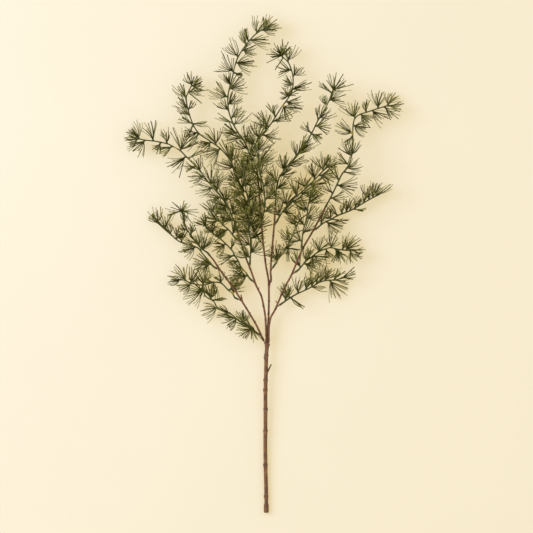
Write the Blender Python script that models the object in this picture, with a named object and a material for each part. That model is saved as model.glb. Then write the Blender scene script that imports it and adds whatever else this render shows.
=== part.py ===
"""A larch spray lying on a table.

A brown stem forks into five brown branches. Nineteen green sprigs sit on short pegs of the stem
and branches, and each sprig carries tufts of needles all the way to its tip.
The spray lies along Y with its cut foot towards -Y and rests on z = 0. The origin is the middle of
the area that it covers. Routes are traced in steps of 1.9 mm, x to the right and y downwards.
"""
import math
import random

import bmesh
import bpy
import numpy as np
from mathutils import Vector
from mathutils.bvhtree import BVHTree

# Driving dimensions, in metres.
MM = 0.001
STEP = 0.0019
MIDDLE_X = 262.0
MIDDLE_Y = 264.0
GAP = 0.3 * MM

STEM_RADIUS = 3.9 * MM
STEM_SIDES = 8
HEAD_RADIUS = 4.7 * MM
SEAT_SPREAD = 2.6 * MM

BRANCH_RADIUS = 1.9 * MM
BRANCH_TIP_RADIUS = 1.7 * MM
BRANCH_SIDES = 6
BRANCH_RING_SPACING = 21 * MM

PEG_RADIUS = 0.9 * MM
PEG_SIDES = 5
PEG_LENGTH = 6.0 * MM
SPUR_RADIUS = 1.6 * MM
BRANCH_PEG_ANGLES = (math.radians(20), math.radians(50))
SPRIG_PEG_ANGLES = (math.radians(32), math.radians(60))

SPRIG_SIDES = 4
SLEEVE_RADIUS = 2.2 * MM
SPRIG_BORE_RADIUS = 1.7 * MM
SPRIG_RADIUS = 1.5 * MM
SPRIG_END_RADIUS = 1.1 * MM
BARE_LENGTH = 22 * MM

BRANCH_COLLAR_RADIUS = 2.3 * MM
BRANCH_BORE_RADIUS = 1.45 * MM

BUD_RADIUS = 2.0 * MM
BUD_LENGTH = 3.6 * MM
NEEDLE_LENGTH = 30 * MM
NEEDLE_BASE = 2.2 * MM
NEEDLE_CLEARANCE = 0.5 * MM
OWN_REACH = 9 * MM
FOOT_SHARE = 0.2
KIN_WIDTH = 0.3
LEAST_RISE = 0.25
ATTEMPTS = 18

# The main stem: its route, its heights above the table and the swellings where leaves once grew.
STEM_ROUTE = [(266.3, 513.4), (266.3, 498), (265.9, 480), (265.5, 466), (265.3, 445), (265.5, 431),
              (265.5, 410), (265.5, 390.5), (266, 372), (266.4, 356), (267.3, 342.5)]
STEM_HEIGHTS = [4.6, 5.5, 7, 9.5, 12, 14]
STEM_NODES = [31, 91, 156, 197, 234, 253, 300]
STEM_FOOT_RADIUS = 4.6 * MM
NODE_SWELL = 1.22

# Branches: what carries each one, its route, and heights in mm evenly spaced along the route.
# The seat is where its foot stands on the head of the main stem; without one it leaves a side peg.
BRANCHES = {
    "branch_left": {
        "on": "main_stem", "seat": None, "heights": [16, 18, 21, 23, 26],
        "route": [(266.6, 347.5), (263, 339.5), (256.4, 325.4), (250.3, 314.8), (243.4, 303.6),
                  (235.4, 291.2), (229.2, 282.4), (219.6, 269.3), (214, 260.8), (209.9, 255.7)]},
    "branch_inner": {
        "on": "main_stem", "seat": (-0.87, 0.5), "heights": [17, 20, 27, 34, 40],
        "route": [(266.2, 334), (265.7, 323), (264.8, 313), (261.6, 297), (258.3, 290),
                  (255.5, 283.8), (250.6, 269.7), (246.4, 259.2), (241.8, 245.2), (239.8, 240.1),
                  (237.2, 230.9)]},
    "branch_middle": {
        "on": "main_stem", "seat": (0.0, -1.0), "heights": [11.5, 13, 20, 28, 36, 44],
        "route": [(267.6, 334), (268.2, 322), (268.7, 313), (268.7, 283), (265.8, 265),
                  (263.8, 248.8), (262.2, 233.5), (261.2, 220.7), (260.7, 210.5), (259.7, 200),
                  (259.2, 190), (258.5, 184)]},
    "branch_right": {
        "on": "main_stem", "seat": (0.87, 0.5), "heights": [17, 20, 27, 34, 40],
        "route": [(268.7, 334), (269.2, 325), (271, 317), (275.4, 309), (284, 289),
                  (291.6, 274.6), (299, 257), (303, 248), (313.6, 229.7), (325, 208)]},
    "branch_fork": {
        "on": "branch_middle", "seat": None, "heights": [19, 25, 31, 37, 42],
        "route": [(268.7, 290), (270.6, 271), (271.9, 251.3), (273, 238.6), (274.2, 224.8),
                  (275.4, 207)]},
}

# Brown stubs where a twig broke off: what carries each, its middle, its tip and its thickness.
STUBS = {
    "main_stem": [((266.3, 375.5), (271.4, 364.2), 1.9, 1.3), ((266.3, 362.5), (263.6, 357.5), 1.6, 0.7),
                  ((266.6, 349), (269.9, 344.6), 1.8, 0.9)],
    "branch_left": [((242.6, 302.6), (240.9, 294.6), 1.6, 1.2)],
    "branch_inner": [((258.6, 291), (258.9, 287.2), 1.3, 0.7)],
    "branch_middle": [],
    "branch_right": [((277.2, 304.6), (275.6, 300.6), 1.3, 0.7)],
    "branch_fork": [],
}

# Sprigs: carrier, route, heights in mm evenly spaced along it, and the sides that its tufts take
# from foot to tip, L for left and R for right. A sprig at a tip continues its branch.
SPRIGS = {
    "sprig_left_1": {
        "on": "branch_left", "tip": False, "heights": [19, 17, 17, 18], "tufts": "LRLRLLRLR",
        "route": [(261.5, 336.5), (255.5, 330), (252, 327), (242.9, 323), (236.6, 318.9),
                  (229.6, 313.2), (217.6, 307.6), (213.4, 301.3), (205.7, 296.4), (202.9, 290)]},
    "sprig_left_2": {
        "on": "branch_left", "tip": False, "heights": [22, 19, 18, 18], "tufts": "RLRLRLRLR",
        "route": [(242, 301.6), (238, 299.9), (232.4, 293.6), (227.5, 289.4), (221.1, 283.2),
                  (213.4, 282.4), (202.9, 285.2), (190.3, 283), (185.4, 280.6), (181, 279.5)]},
    "sprig_left_3": {
        "on": "branch_left", "tip": False, "heights": [23, 18, 17, 18], "tufts": "LRLRLRLRLR",
        "route": [(220.4, 270.4), (214, 264.8), (208.5, 260.4), (203, 254.4), (199, 249),
                  (194.4, 246.5), (181.7, 242.6), (176, 239.2), (170.8, 234.6), (165.5, 230.2),
                  (157.5, 222.8)]},
    "sprig_left_tip": {
        "on": "branch_left", "tip": True, "heights": [28, 36, 40, 40], "tufts": "RLRLRLR",
        "route": [(209.9, 255.7), (205, 252), (202, 249), (197.2, 243.6), (192, 236.5),
                  (186.3, 228.4), (184, 222.7), (183, 216), (181.9, 212.6)]},
    "sprig_inner_1": {
        "on": "branch_inner", "tip": False, "heights": [26, 22, 20, 20], "tufts": "LRLRLRLRLRL",
        "route": [(255.5, 284), (252, 280.4), (245.7, 272.5), (241, 267), (238.2, 261),
                  (234.5, 255.4), (231.7, 250.1), (221.4, 239.8), (213.3, 234), (205.6, 226.4)]},
    "sprig_inner_2": {
        "on": "branch_inner", "tip": False, "heights": [38, 34, 30], "tufts": "RLRLR",
        "route": [(240.5, 242), (234.7, 235.5), (229.4, 230.6), (224, 226), (220.8, 222.6),
                  (216.8, 216.8), (214, 212.5)]},
    "sprig_inner_3": {
        "on": "branch_inner", "tip": False, "heights": [42, 54, 60, 62, 62, 60],
        "tufts": "LRLRLRLRLRLRLR",
        "route": [(249.6, 267), (250.5, 253), (250.8, 248.8), (250.5, 238.6), (249, 228.4),
                  (250, 215.6), (249.5, 205.4), (246, 190), (243.4, 169)]},
    "sprig_inner_tip": {
        "on": "branch_inner", "tip": True, "heights": [41, 46, 42, 30, 22, 20],
        "tufts": "LRLRLRLRLRLLRRLRLRLRL",
        "route": [(237.2, 230.9), (235, 223), (231.6, 215.6), (229, 208), (223, 199),
                  (215.7, 190.8), (209.9, 184), (201.3, 172.6), (193.7, 164), (186, 156.4),
                  (180.2, 150.6), (173.6, 146.8), (166.9, 143.6), (154.5, 141), (144.9, 140),
                  (138.5, 138.6)]},
    "sprig_middle_1": {
        "on": "branch_middle", "tip": False, "heights": [28, 24, 22, 22, 26, 28, 26, 24],
        "tufts": "LRLRLRLRLRLRLRLRLRLRLLLRR",
        "route": [(263.4, 246), (258.2, 237), (255.6, 230.9), (252.6, 223.3), (249, 212),
                  (245, 200), (241, 187), (237.4, 177), (233.7, 167.3), (229.6, 159.2),
                  (220.4, 148.7), (209, 140.4), (199, 133.4), (192.7, 123.8), (188, 109.5),
                  (186.2, 98), (188.5, 91.5), (191.5, 85.5)]},
    "sprig_middle_2": {
        "on": "branch_middle", "tip": False,
        "heights": [46, 66, 70, 70, 64, 52, 42, 34, 30, 28, 27, 26],
        "tufts": "LRLRLRLRLRLRLLRLRLRLRLRLRLRRL",
        "route": [(261.4, 223), (264.3, 210.5), (265, 203), (264.5, 195), (262.8, 183.7),
                  (260.4, 176), (259.4, 170.5), (258.2, 157.7), (255.9, 148.6), (256.2, 142),
                  (263.3, 134.2), (272.5, 121.7), (281.2, 107.6), (287.7, 98.9), (292.4, 89.2),
                  (293, 77.2), (291, 68.5), (287.7, 61.6), (282, 56.4)]},
    "sprig_middle_tip": {
        "on": "branch_middle", "tip": True, "heights": [46, 44, 42, 38, 30, 26, 24, 22],
        "tufts": "LRLRLRLLRLRLRLRLRLRLRLRLLR",
        "route": [(258.5, 184), (257.5, 173.5), (256, 166), (253.6, 160.5), (250.4, 156),
                  (248.4, 151), (245.9, 144.5), (241.3, 137.6), (236.8, 130.6), (232.9, 123.2),
                  (228.6, 110.4), (228, 96), (230.3, 85), (232.9, 75), (234.5, 67), (237.7, 57.8),
                  (243.4, 48.3), (250, 39.7), (256.8, 33), (264, 28.5)]},
    "sprig_fork_1": {
        "on": "branch_fork", "tip": False, "heights": [24, 20, 20, 22], "tufts": "LLRLRLRLRLR",
        "route": [(270.8, 271), (275, 265), (279.1, 258), (286.2, 248.3), (290.3, 240.6),
                  (294.9, 229.8), (298, 223), (302, 218), (309, 212.6), (315, 206)]},
    "sprig_fork_2": {
        "on": "branch_fork", "tip": False, "heights": [34, 30, 26, 24], "tufts": "LRLRLRLRLRL",
        "route": [(274, 227), (280.1, 215.6), (283.4, 210.5), (290.3, 202.6), (295.4, 197.2),
                  (301.8, 192), (311.6, 182.9), (318, 176), (325.5, 168.4)]},
    "sprig_fork_tip": {
        "on": "branch_fork", "tip": True, "heights": [44, 48, 44, 34, 26, 22],
        "tufts": "LRLRLRLRLRLRLRRLLRLR",
        "route": [(275.4, 207), (275.7, 198), (276.2, 190), (277.5, 183.2), (280.4, 175.6),
                  (288, 166.2), (296.2, 155.8), (305, 144.6), (311.5, 133.6), (319, 118.4),
                  (326.7, 105.4), (332, 93), (334.8, 85)]},
    "sprig_right_1": {
        "on": "branch_right", "tip": False, "heights": [22, 18, 17, 18], "tufts": "LRLRLRLRLR",
        "route": [(276.3, 308), (283, 303), (290.6, 297.6), (298, 293.5), (305.7, 290),
                  (313.4, 286), (320.6, 281.9), (328.2, 280.3), (335.4, 280), (342, 278)]},
    "sprig_right_2": {
        "on": "branch_right", "tip": False, "heights": [28, 23, 19, 18], "tufts": "LRLRLRLRLRL",
        "route": [(291.6, 275.5), (300, 268), (305.7, 261.4), (312, 256.8), (317.7, 252.3),
                  (325.4, 249), (331, 247.6), (338.3, 249.3), (345.9, 250.3), (352.5, 250.4)]},
    "sprig_right_3": {
        "on": "branch_right", "tip": False, "heights": [38, 46, 50, 48], "tufts": "LRLRLR",
        "route": [(301.4, 251), (301.9, 241), (302.4, 236), (303.5, 229), (305, 224),
                  (307, 215.4), (308, 206), (309.4, 200)]},
    "sprig_right_4": {
        "on": "branch_right", "tip": False, "heights": [29, 22, 20, 19], "tufts": "LRLRLRLRLR",
        "route": [(312.6, 231.4), (318, 226.6), (323.5, 223), (331, 219.4), (337.6, 215.6),
                  (348.4, 211.4), (355, 208), (362.5, 203.6), (370, 199.2), (378, 195)]},
    "sprig_right_tip": {
        "on": "branch_right", "tip": True, "heights": [42, 46, 44, 36, 27, 22, 20],
        "tufts": "RLRLRLLRLRLRLRLRLRL",
        "route": [(325, 208), (332, 194.8), (337.6, 183), (341.4, 175), (346, 169),
                  (349.9, 162.5), (351.7, 152.5), (352.6, 142), (352.8, 130), (354.4, 119.4),
                  (359.4, 114.6), (367, 112), (376, 109), (387.6, 105.4)]},
}

STEM_BROWN = (0.195, 0.088, 0.045)
BRANCH_BROWN = (0.165, 0.062, 0.034)
NEEDLE_GREEN = (0.090, 0.100, 0.036)
SEED = 12


def clear_scene():
    for old in list(bpy.data.objects):
        bpy.data.objects.remove(old, do_unlink=True)


def plastic(name, colour, roughness):
    """A plain moulded plastic of one colour."""
    material = bpy.data.materials.new(name)
    material.use_nodes = True
    shader = material.node_tree.nodes["Principled BSDF"]
    shader.inputs["Base Color"].default_value = (*colour, 1.0)
    shader.inputs["Roughness"].default_value = roughness
    shader.inputs["Metallic"].default_value = 0.0
    return material


def to_metres(x, y, z):
    """A traced place, with its height in mm, as metres in the spray's own frame."""
    return np.array([(x - MIDDLE_X) * STEP, (MIDDLE_Y - y) * STEP, z * MM])


def with_heights(route, heights):
    """Traced points in metres, with the heights spread evenly along the route."""
    plan = np.array(route, dtype=float)
    walked = np.concatenate([[0], np.cumsum(np.linalg.norm(np.diff(plan, axis=0), axis=1))])
    share = walked / walked[-1]
    levels = np.interp(share, np.linspace(0, 1, len(heights)), heights)
    return [to_metres(x, y, z) for (x, y), z in zip(route, levels)]


def smooth_curve(points, before=None, per_span=10):
    """A Catmull-Rom curve through the points. The point before shapes its first span."""
    first = points[0] * 2 - points[1] if before is None else before
    knots = [first] + list(points) + [points[-1] * 2 - points[-2]]
    curve = []
    for a, b, c, d in zip(knots, knots[1:], knots[2:], knots[3:]):
        for k in range(per_span):
            t = k / per_span
            curve.append(0.5 * (2 * b + (c - a) * t + (2 * a - 5 * b + 4 * c - d) * t ** 2
                                + (3 * b - a - 3 * c + d) * t ** 3))
    curve.append(points[-1])
    return np.array(curve)


class Route:
    """A smooth line in space that is read by the distance along it."""

    def __init__(self, curve, mouth=0.0):
        self.curve = curve
        self.mouth = mouth
        steps = np.linalg.norm(np.diff(curve, axis=0), axis=1)
        self.walked = np.concatenate([[0], np.cumsum(steps)])
        self.length = self.walked[-1]

    def at(self, distance):
        return np.array([np.interp(distance, self.walked, self.curve[:, k]) for k in range(3)])

    def tangent(self, distance):
        reach = 1.5 * MM
        ahead = self.at(min(distance + reach, self.length))
        behind = self.at(max(distance - reach, 0))
        return (ahead - behind) / np.linalg.norm(ahead - behind)

    def nearest(self, x, y):
        """The distance along the line at which it passes closest to a traced place."""
        place = to_metres(x, y, 0)[:2]
        return self.walked[np.argmin(np.linalg.norm(self.curve[:, :2] - place, axis=1))]


def cross_axes(tangent):
    """The directions to the right of a line and up from it, seen along the line from its foot."""
    right = np.cross(tangent, (0, 0, 1))
    right = right / np.linalg.norm(right)
    return right, np.cross(right, tangent)


def leave_carrier(start, direction, traced, mouth):
    """A route that runs straight over its peg and then bends into the traced points."""
    run = mouth + PEG_LENGTH + 1 * MM
    end = start + direction * run
    rest = [point for point in traced if np.linalg.norm(point - start) > run + 6 * MM]
    before = end - direction * np.linalg.norm(rest[0] - end)
    straight = np.array([start + direction * run * k / 6 for k in range(6)])
    return Route(np.vstack([straight, smooth_curve([end] + rest, before)]), mouth)


def route_on_side(name, carrier, spec):
    """The route of a piece on a side peg, which points towards the first stretch of its line."""
    traced = with_heights(spec["route"], spec["heights"])
    foot = carrier.nearest(*spec["route"][0])
    start = carrier.at(foot)
    tangent = carrier.tangent(foot)
    target = next(point for point in traced if np.linalg.norm(point - start) > 18 * MM)
    offset = (target - start) / np.linalg.norm(target - start)
    outward = offset - tangent * (offset @ tangent)
    outward = outward / np.linalg.norm(outward)
    least, most = BRANCH_PEG_ANGLES if name in BRANCHES else SPRIG_PEG_ANGLES
    angle = min(max(math.acos(offset @ tangent), least), most)
    direction = tangent * math.cos(angle) + outward * math.sin(angle)
    carrier_radius = STEM_RADIUS * NODE_SWELL if spec["on"] == "main_stem" else BRANCH_RADIUS
    own_radius = BRANCH_COLLAR_RADIUS if name in BRANCHES else SLEEVE_RADIUS
    mouth = (carrier_radius + GAP) / math.sin(angle) + own_radius / math.tan(angle)
    return leave_carrier(start, direction, traced, mouth)


def plan_routes():
    """Work out the line of every piece, from the main stem outwards."""
    routes = {"main_stem": Route(smooth_curve(with_heights(STEM_ROUTE, STEM_HEIGHTS)))}
    for name, spec in BRANCHES.items():
        carrier = routes[spec["on"]]
        if spec["seat"] is None:
            routes[name] = route_on_side(name, carrier, spec)
            continue
        right, up = cross_axes(carrier.tangent(carrier.length))
        across, above = spec["seat"]
        start = carrier.at(carrier.length) + (right * across + up * above) * SEAT_SPREAD
        traced = with_heights(spec["route"], spec["heights"])
        routes[name] = leave_carrier(start, carrier.tangent(carrier.length), traced, GAP)
    for name, spec in SPRIGS.items():
        carrier = routes[spec["on"]]
        if spec["tip"]:
            end = carrier.length
            traced = with_heights(spec["route"], spec["heights"])
            routes[name] = leave_carrier(carrier.at(end), carrier.tangent(end), traced, GAP)
        else:
            routes[name] = route_on_side(name, carrier, spec)
    return routes


def ring(bm, centre, tangent, radius, sides, spin):
    """One loop of points around a line, turned by spin about it."""
    right, up = cross_axes(tangent)
    loop = []
    for k in range(sides):
        angle = spin + math.tau * (k + 0.5) / sides
        loop.append(bm.verts.new(centre + (right * math.cos(angle) + up * math.sin(angle)) * radius))
    return loop


def skin(bm, loops):
    """Close a run of loops into one tube, and give back the faces of each band."""
    bands = []
    for near, far in zip(loops, loops[1:]):
        band = []
        for k in range(len(near)):
            after = (k + 1) % len(near)
            band.append(bm.faces.new((near[k], far[k], far[after], near[after])))
        bands.append(band)
    bm.faces.new(loops[0])
    end_cap = bm.faces.new(list(reversed(loops[-1])))
    return bands, end_cap


def finish_object(name, bm, material):
    """Turn a mesh into a named object, shaded smooth."""
    mesh = bpy.data.meshes.new(name)
    bm.to_mesh(mesh)
    bm.free()
    mesh.shade_smooth()
    mesh.set_sharp_from_angle(angle=math.radians(50))
    if material is not None:
        mesh.materials.append(material)
    thing = bpy.data.objects.new(name, mesh)
    bpy.context.scene.collection.objects.link(thing)
    return thing


def straight_rod(bm, start, direction, profile, sides=PEG_SIDES):
    """A straight closed rod. The profile lists a distance from the start and a radius."""
    loops = []
    for distance, radius in profile:
        loops.append(ring(bm, start + direction * distance, direction, radius, sides, 0))
    skin(bm, loops)


def grow_rods(thing, name, bm):
    """Fuse the rods in a helper mesh to the piece that they grow from."""
    helper = finish_object(name + "_rods", bm, None)
    helper.display_type = "WIRE"
    helper.hide_render = True
    union = thing.modifiers.new("rods", "BOOLEAN")
    union.operation = "UNION"
    union.solver = "EXACT"
    union.object = helper


def pegs_and_stubs(name, routes):
    """Rods for the side pegs, the seats and the broken twigs of one brown piece."""
    bm = bmesh.new()
    carried = {**BRANCHES, **SPRIGS}
    for child, spec in carried.items():
        if spec["on"] != name or spec.get("tip", False):
            continue
        route = routes[child]
        reach = PEG_LENGTH + route.mouth - GAP
        if spec.get("seat") is not None:
            profile = [(-2 * MM, PEG_RADIUS), (reach, PEG_RADIUS)]
        else:
            profile = [(0, SPUR_RADIUS), (route.mouth - GAP, PEG_RADIUS), (reach, PEG_RADIUS)]
        straight_rod(bm, route.at(0), route.tangent(0), profile)
    for foot, tip, thick, thin in STUBS[name]:
        distance = routes[name].nearest(*foot)
        start = routes[name].at(distance)
        end = to_metres(tip[0], tip[1], start[2] / MM + 1.5)
        length = np.linalg.norm(end - start)
        straight_rod(bm, start, (end - start) / length, [(0, thick * MM), (length, thin * MM)])
    return bm


def make_main_stem(routes, material):
    """The thick stem: a flared cut foot, low swellings, and a round head that takes the branches."""
    route = routes["main_stem"]
    marks = [(0, STEM_FOOT_RADIUS), (5 * MM, STEM_FOOT_RADIUS * 0.97), (9 * MM, STEM_RADIUS)]
    for node in STEM_NODES:
        middle = node * MM
        marks.append((middle - 5 * MM, STEM_RADIUS))
        marks.append((middle, STEM_RADIUS * NODE_SWELL))
        marks.append((middle + 5 * MM, STEM_RADIUS))
    marks.append((route.length - 12 * MM, STEM_RADIUS))
    marks.append((route.length - 6 * MM, HEAD_RADIUS))
    marks.append((route.length, HEAD_RADIUS))
    marks.sort()
    bm = bmesh.new()
    loops = []
    for distance, radius in marks:
        loops.append(ring(bm, route.at(distance), route.tangent(distance), radius, STEM_SIDES, 0))
    skin(bm, loops)
    stem = finish_object("main_stem", bm, material)
    grow_rods(stem, "main_stem", pegs_and_stubs("main_stem", routes))


def socket_loops(bm, route, bore_radius, outer_radius, sides, spin):
    """The loops of a socket that fits over a peg, from the bottom of its bore to its outer rim."""
    mouth = route.mouth
    bottom = mouth + PEG_LENGTH
    loops = []
    for distance, radius in ((bottom, bore_radius), (mouth, bore_radius), (mouth, outer_radius)):
        loops.append(ring(bm, route.at(distance), route.tangent(2 * MM), radius, sides, spin))
    return loops


def make_branch(name, routes, material):
    """A branch: a socket at its foot, a gentle taper, and a peg at its end for the last sprig."""
    route = routes[name]
    bm = bmesh.new()
    loops = socket_loops(bm, route, BRANCH_BORE_RADIUS, BRANCH_COLLAR_RADIUS, BRANCH_SIDES, 0)
    collar_end = route.mouth + PEG_LENGTH + 1 * MM
    marks = [(collar_end, BRANCH_COLLAR_RADIUS), (collar_end + 3 * MM, BRANCH_RADIUS)]
    bare = route.length - collar_end - 3 * MM
    count = math.ceil(bare / BRANCH_RING_SPACING)
    for k in range(1, count + 1):
        share = k / count
        radius = BRANCH_RADIUS + (BRANCH_TIP_RADIUS - BRANCH_RADIUS) * share
        marks.append((collar_end + 3 * MM + bare * share, radius))
    for distance, radius in marks:
        loops.append(ring(bm, route.at(distance), route.tangent(distance), radius, BRANCH_SIDES, 0))
    end = route.at(route.length)
    along = route.tangent(route.length)
    loops.append(ring(bm, end, along, PEG_RADIUS, BRANCH_SIDES, 0))
    loops.append(ring(bm, end + along * (PEG_LENGTH - GAP), along, PEG_RADIUS, BRANCH_SIDES, 0))
    skin(bm, loops)
    branch = finish_object(name, bm, material)
    grow_rods(branch, name, pegs_and_stubs(name, routes))


class Crowd:
    """Every stem and needle placed so far, as tapered segments that a new needle must miss."""

    def __init__(self, room_for=6000):
        self.starts = np.zeros((room_for, 3))
        self.spans = np.zeros((room_for, 3))
        self.radii = np.zeros((room_for, 2))
        self.sprig = np.zeros(room_for, dtype=int)
        self.place = np.zeros(room_for)
        self.count = 0

    def add(self, start, end, radii, sprig, place):
        """Note a segment, the sprig that it belongs to and its place along that sprig."""
        k = self.count
        self.starts[k] = start
        self.spans[k] = end - start
        self.radii[k] = radii
        self.sprig[k] = sprig
        self.place[k] = place
        self.count += 1

    def gap_around(self, start, end, sprig, place):
        """The smallest gap between a new needle and all else, apart from the feet of its own tuft."""
        n = self.count
        own = (self.sprig[:n] == sprig) & (np.abs(self.place[:n] - place) <= OWN_REACH)
        gap = smallest_gap(start, end, NEEDLE_BASE, self.starts[:n][~own], self.spans[:n][~own],
                           self.radii[:n][~own])
        foot = start + (end - start) * FOOT_SHARE
        thin = NEEDLE_BASE * KIN_WIDTH
        stem = own & (self.radii[:n, 1] > 0)
        gap = min(gap, smallest_gap(foot, end, thin, self.starts[:n][stem], self.spans[:n][stem],
                                    self.radii[:n][stem]))
        kin = own & (self.radii[:n, 1] == 0)
        if kin.any():
            starts = self.starts[:n][kin] + self.spans[:n][kin] * FOOT_SHARE
            spans = self.spans[:n][kin] * (1 - FOOT_SHARE)
            gap = min(gap, smallest_gap(foot, end, thin, starts, spans, self.radii[:n][kin] * KIN_WIDTH))
        return gap


def smallest_gap(start, end, own_radius, base, span, radii):
    """The smallest gap between a tapered needle and many tapered segments."""
    own = end - start
    offset = start - base
    a = own @ own
    e = np.sum(span * span, axis=1)
    b = span @ own
    c = offset @ own
    f = np.sum(span * offset, axis=1)
    spread = np.maximum(a * e - b * b, 1e-18)
    s = np.clip((b * f - c * e) / spread, 0, 1)
    t = np.clip((b * s + f) / e, 0, 1)
    s = np.clip((b * t - c) / a, 0, 1)
    apart = np.linalg.norm(offset + s[:, None] * own - t[:, None] * span, axis=1)
    thickness = own_radius * (1 - s) + radii[:, 0] * (1 - t) + radii[:, 1] * t
    return float(np.min(apart - thickness))


def crowd_of_stems(routes):
    """All the stems, cut into short segments."""
    crowd = Crowd()
    for number, (name, route) in enumerate(routes.items()):
        radius = HEAD_RADIUS if name == "main_stem" else SLEEVE_RADIUS
        count = math.ceil(route.length / (6 * MM))
        for k in range(count):
            near = route.length * k / count
            far = route.length * (k + 1) / count
            crowd.add(route.at(near), route.at(far), (radius, radius), number, near)
    return crowd


def tuft_places(route, sides, rng):
    """Where the tufts sit along a sprig, and the angle about the stem that each one faces."""
    first = BARE_LENGTH
    room = route.length - 5 * MM - first
    places = []
    for k, side in enumerate(sides):
        distance = first + room * (k + rng.uniform(-0.14, 0.14)) / (len(sides) - 1)
        distance = min(max(distance, first), first + room)
        facing = 0 if side == "R" else math.pi
        lift = rng.uniform(-0.45, 0.55)
        facing += lift if side == "R" else -lift
        places.append((distance, facing))
    return places


def needle_tip(base, direction, length):
    """The tip of a needle. One that would pass through the table lies down on it instead."""
    tip = base + direction * length
    if tip[2] >= 0:
        return tip
    flat = np.array([direction[0], direction[1], 0])
    flat = flat / np.linalg.norm(flat)
    reach = math.sqrt(length ** 2 - base[2] ** 2)
    return np.array([base[0], base[1], 0]) + flat * reach


def edge_meets(tree, foot, tip):
    """Whether the edge of a needle runs into a surface on its way from the foot to the tip."""
    start = foot.lerp(tip, 0.02)
    reach = tip - start
    return tree.ray_cast(start, reach.normalized(), reach.length)[0] is not None


def meets_kin(whole, corners, tip, kin):
    """Whether a needle would cut its own sprig, or be cut by a needle drawn before it."""
    if any(edge_meets(whole, corner, tip) for corner in corners):
        return True
    needle = BVHTree.FromPolygons([*corners, tip], [(0, 1, 3), (1, 2, 3), (2, 0, 3)])
    return any(edge_meets(needle, corner, kin_tip) for feet, kin_tip in kin for corner in feet)


def pull_needle(bm, triangle, tangent, facing, lean, length, tuft, crowd, kin, rng):
    """Draw one face of a bud out into a needle, if there is room for it."""
    base = np.array(triangle.calc_center_median())
    triangle.normal_update()
    corners = [vert.co.copy() for vert in triangle.verts]
    whole = BVHTree.FromBMesh(bm)
    right, up = cross_axes(tangent)
    for attempt in range(ATTEMPTS):
        freedom = 0.6 * attempt / ATTEMPTS
        turn = rng.uniform(-freedom, freedom)
        tilt = lean + rng.uniform(-freedom, freedom) * 0.7
        outward = right * math.cos(facing + turn) + up * math.sin(facing + turn)
        direction = tangent * math.cos(tilt) + outward * math.sin(tilt)
        tip = needle_tip(base, direction, length * (1 - 0.4 * attempt / ATTEMPTS))
        rise = (tip - base) @ np.array(triangle.normal) / np.linalg.norm(tip - base)
        if rise < LEAST_RISE or crowd.gap_around(base, tip, *tuft) < NEEDLE_CLEARANCE:
            continue
        if meets_kin(whole, corners, Vector(tip), kin):
            continue
        crowd.add(base, tip, (NEEDLE_BASE, 0), *tuft)
        kin.append((corners, Vector(tip)))
        middle = bmesh.ops.poke(bm, faces=[triangle])["verts"][0]
        middle.co = tip
        return


def make_tuft(bm, band, facing, route, tuft, crowd, rng):
    """Six needles in a fan: two from each of the three bud faces on the tuft's side."""
    place = tuft[1]
    tangent = route.tangent(place)
    right, up = cross_axes(tangent)
    outward = right * math.cos(facing) + up * math.sin(facing)
    middle = route.at(place)
    across = np.cross(outward, tangent)
    faces = []
    for face in band:
        offset = np.array(face.calc_center_median()) - middle
        if offset @ outward > -0.3 * BUD_RADIUS:
            faces.append(face)
    kin = []
    for triangle in bmesh.ops.triangulate(bm, faces=faces)["faces"]:
        offset = np.array(triangle.calc_center_median()) - middle
        sideways = np.clip(offset @ across / BUD_RADIUS, -0.75, 0.75)
        forward = offset @ tangent > 0
        lean = math.radians(rng.uniform(30, 42) if forward else rng.uniform(62, 80))
        length = NEEDLE_LENGTH * rng.uniform(0.86, 1.08)
        pull_needle(bm, triangle, tangent, facing + sideways * 1.45, lean, length, tuft, crowd,
                    kin, rng)


def make_tip_brush(bm, end_cap, route, tuft, crowd, rng):
    """Four needles around the end of a sprig, pointing onwards."""
    tangent = route.tangent(route.length)
    right, up = cross_axes(tangent)
    middle = route.at(route.length)
    cap = bmesh.ops.poke(bm, faces=[end_cap])
    cap["verts"][0].co = middle + tangent * 1.0 * MM
    kin = []
    for triangle in cap["faces"]:
        offset = np.array(triangle.calc_center_median()) - middle
        facing = math.atan2(offset @ up, offset @ right)
        length = NEEDLE_LENGTH * rng.uniform(0.72, 0.86)
        pull_needle(bm, triangle, tangent, facing, rng.uniform(0.35, 0.6), length, tuft, crowd,
                    kin, rng)


def turned_to(spin, facing):
    """The nearest turn of a ring that squares one of its faces with a tuft."""
    quarter = math.tau / SPRIG_SIDES
    return spin + (facing - spin + quarter / 2) % quarter - quarter / 2


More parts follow.
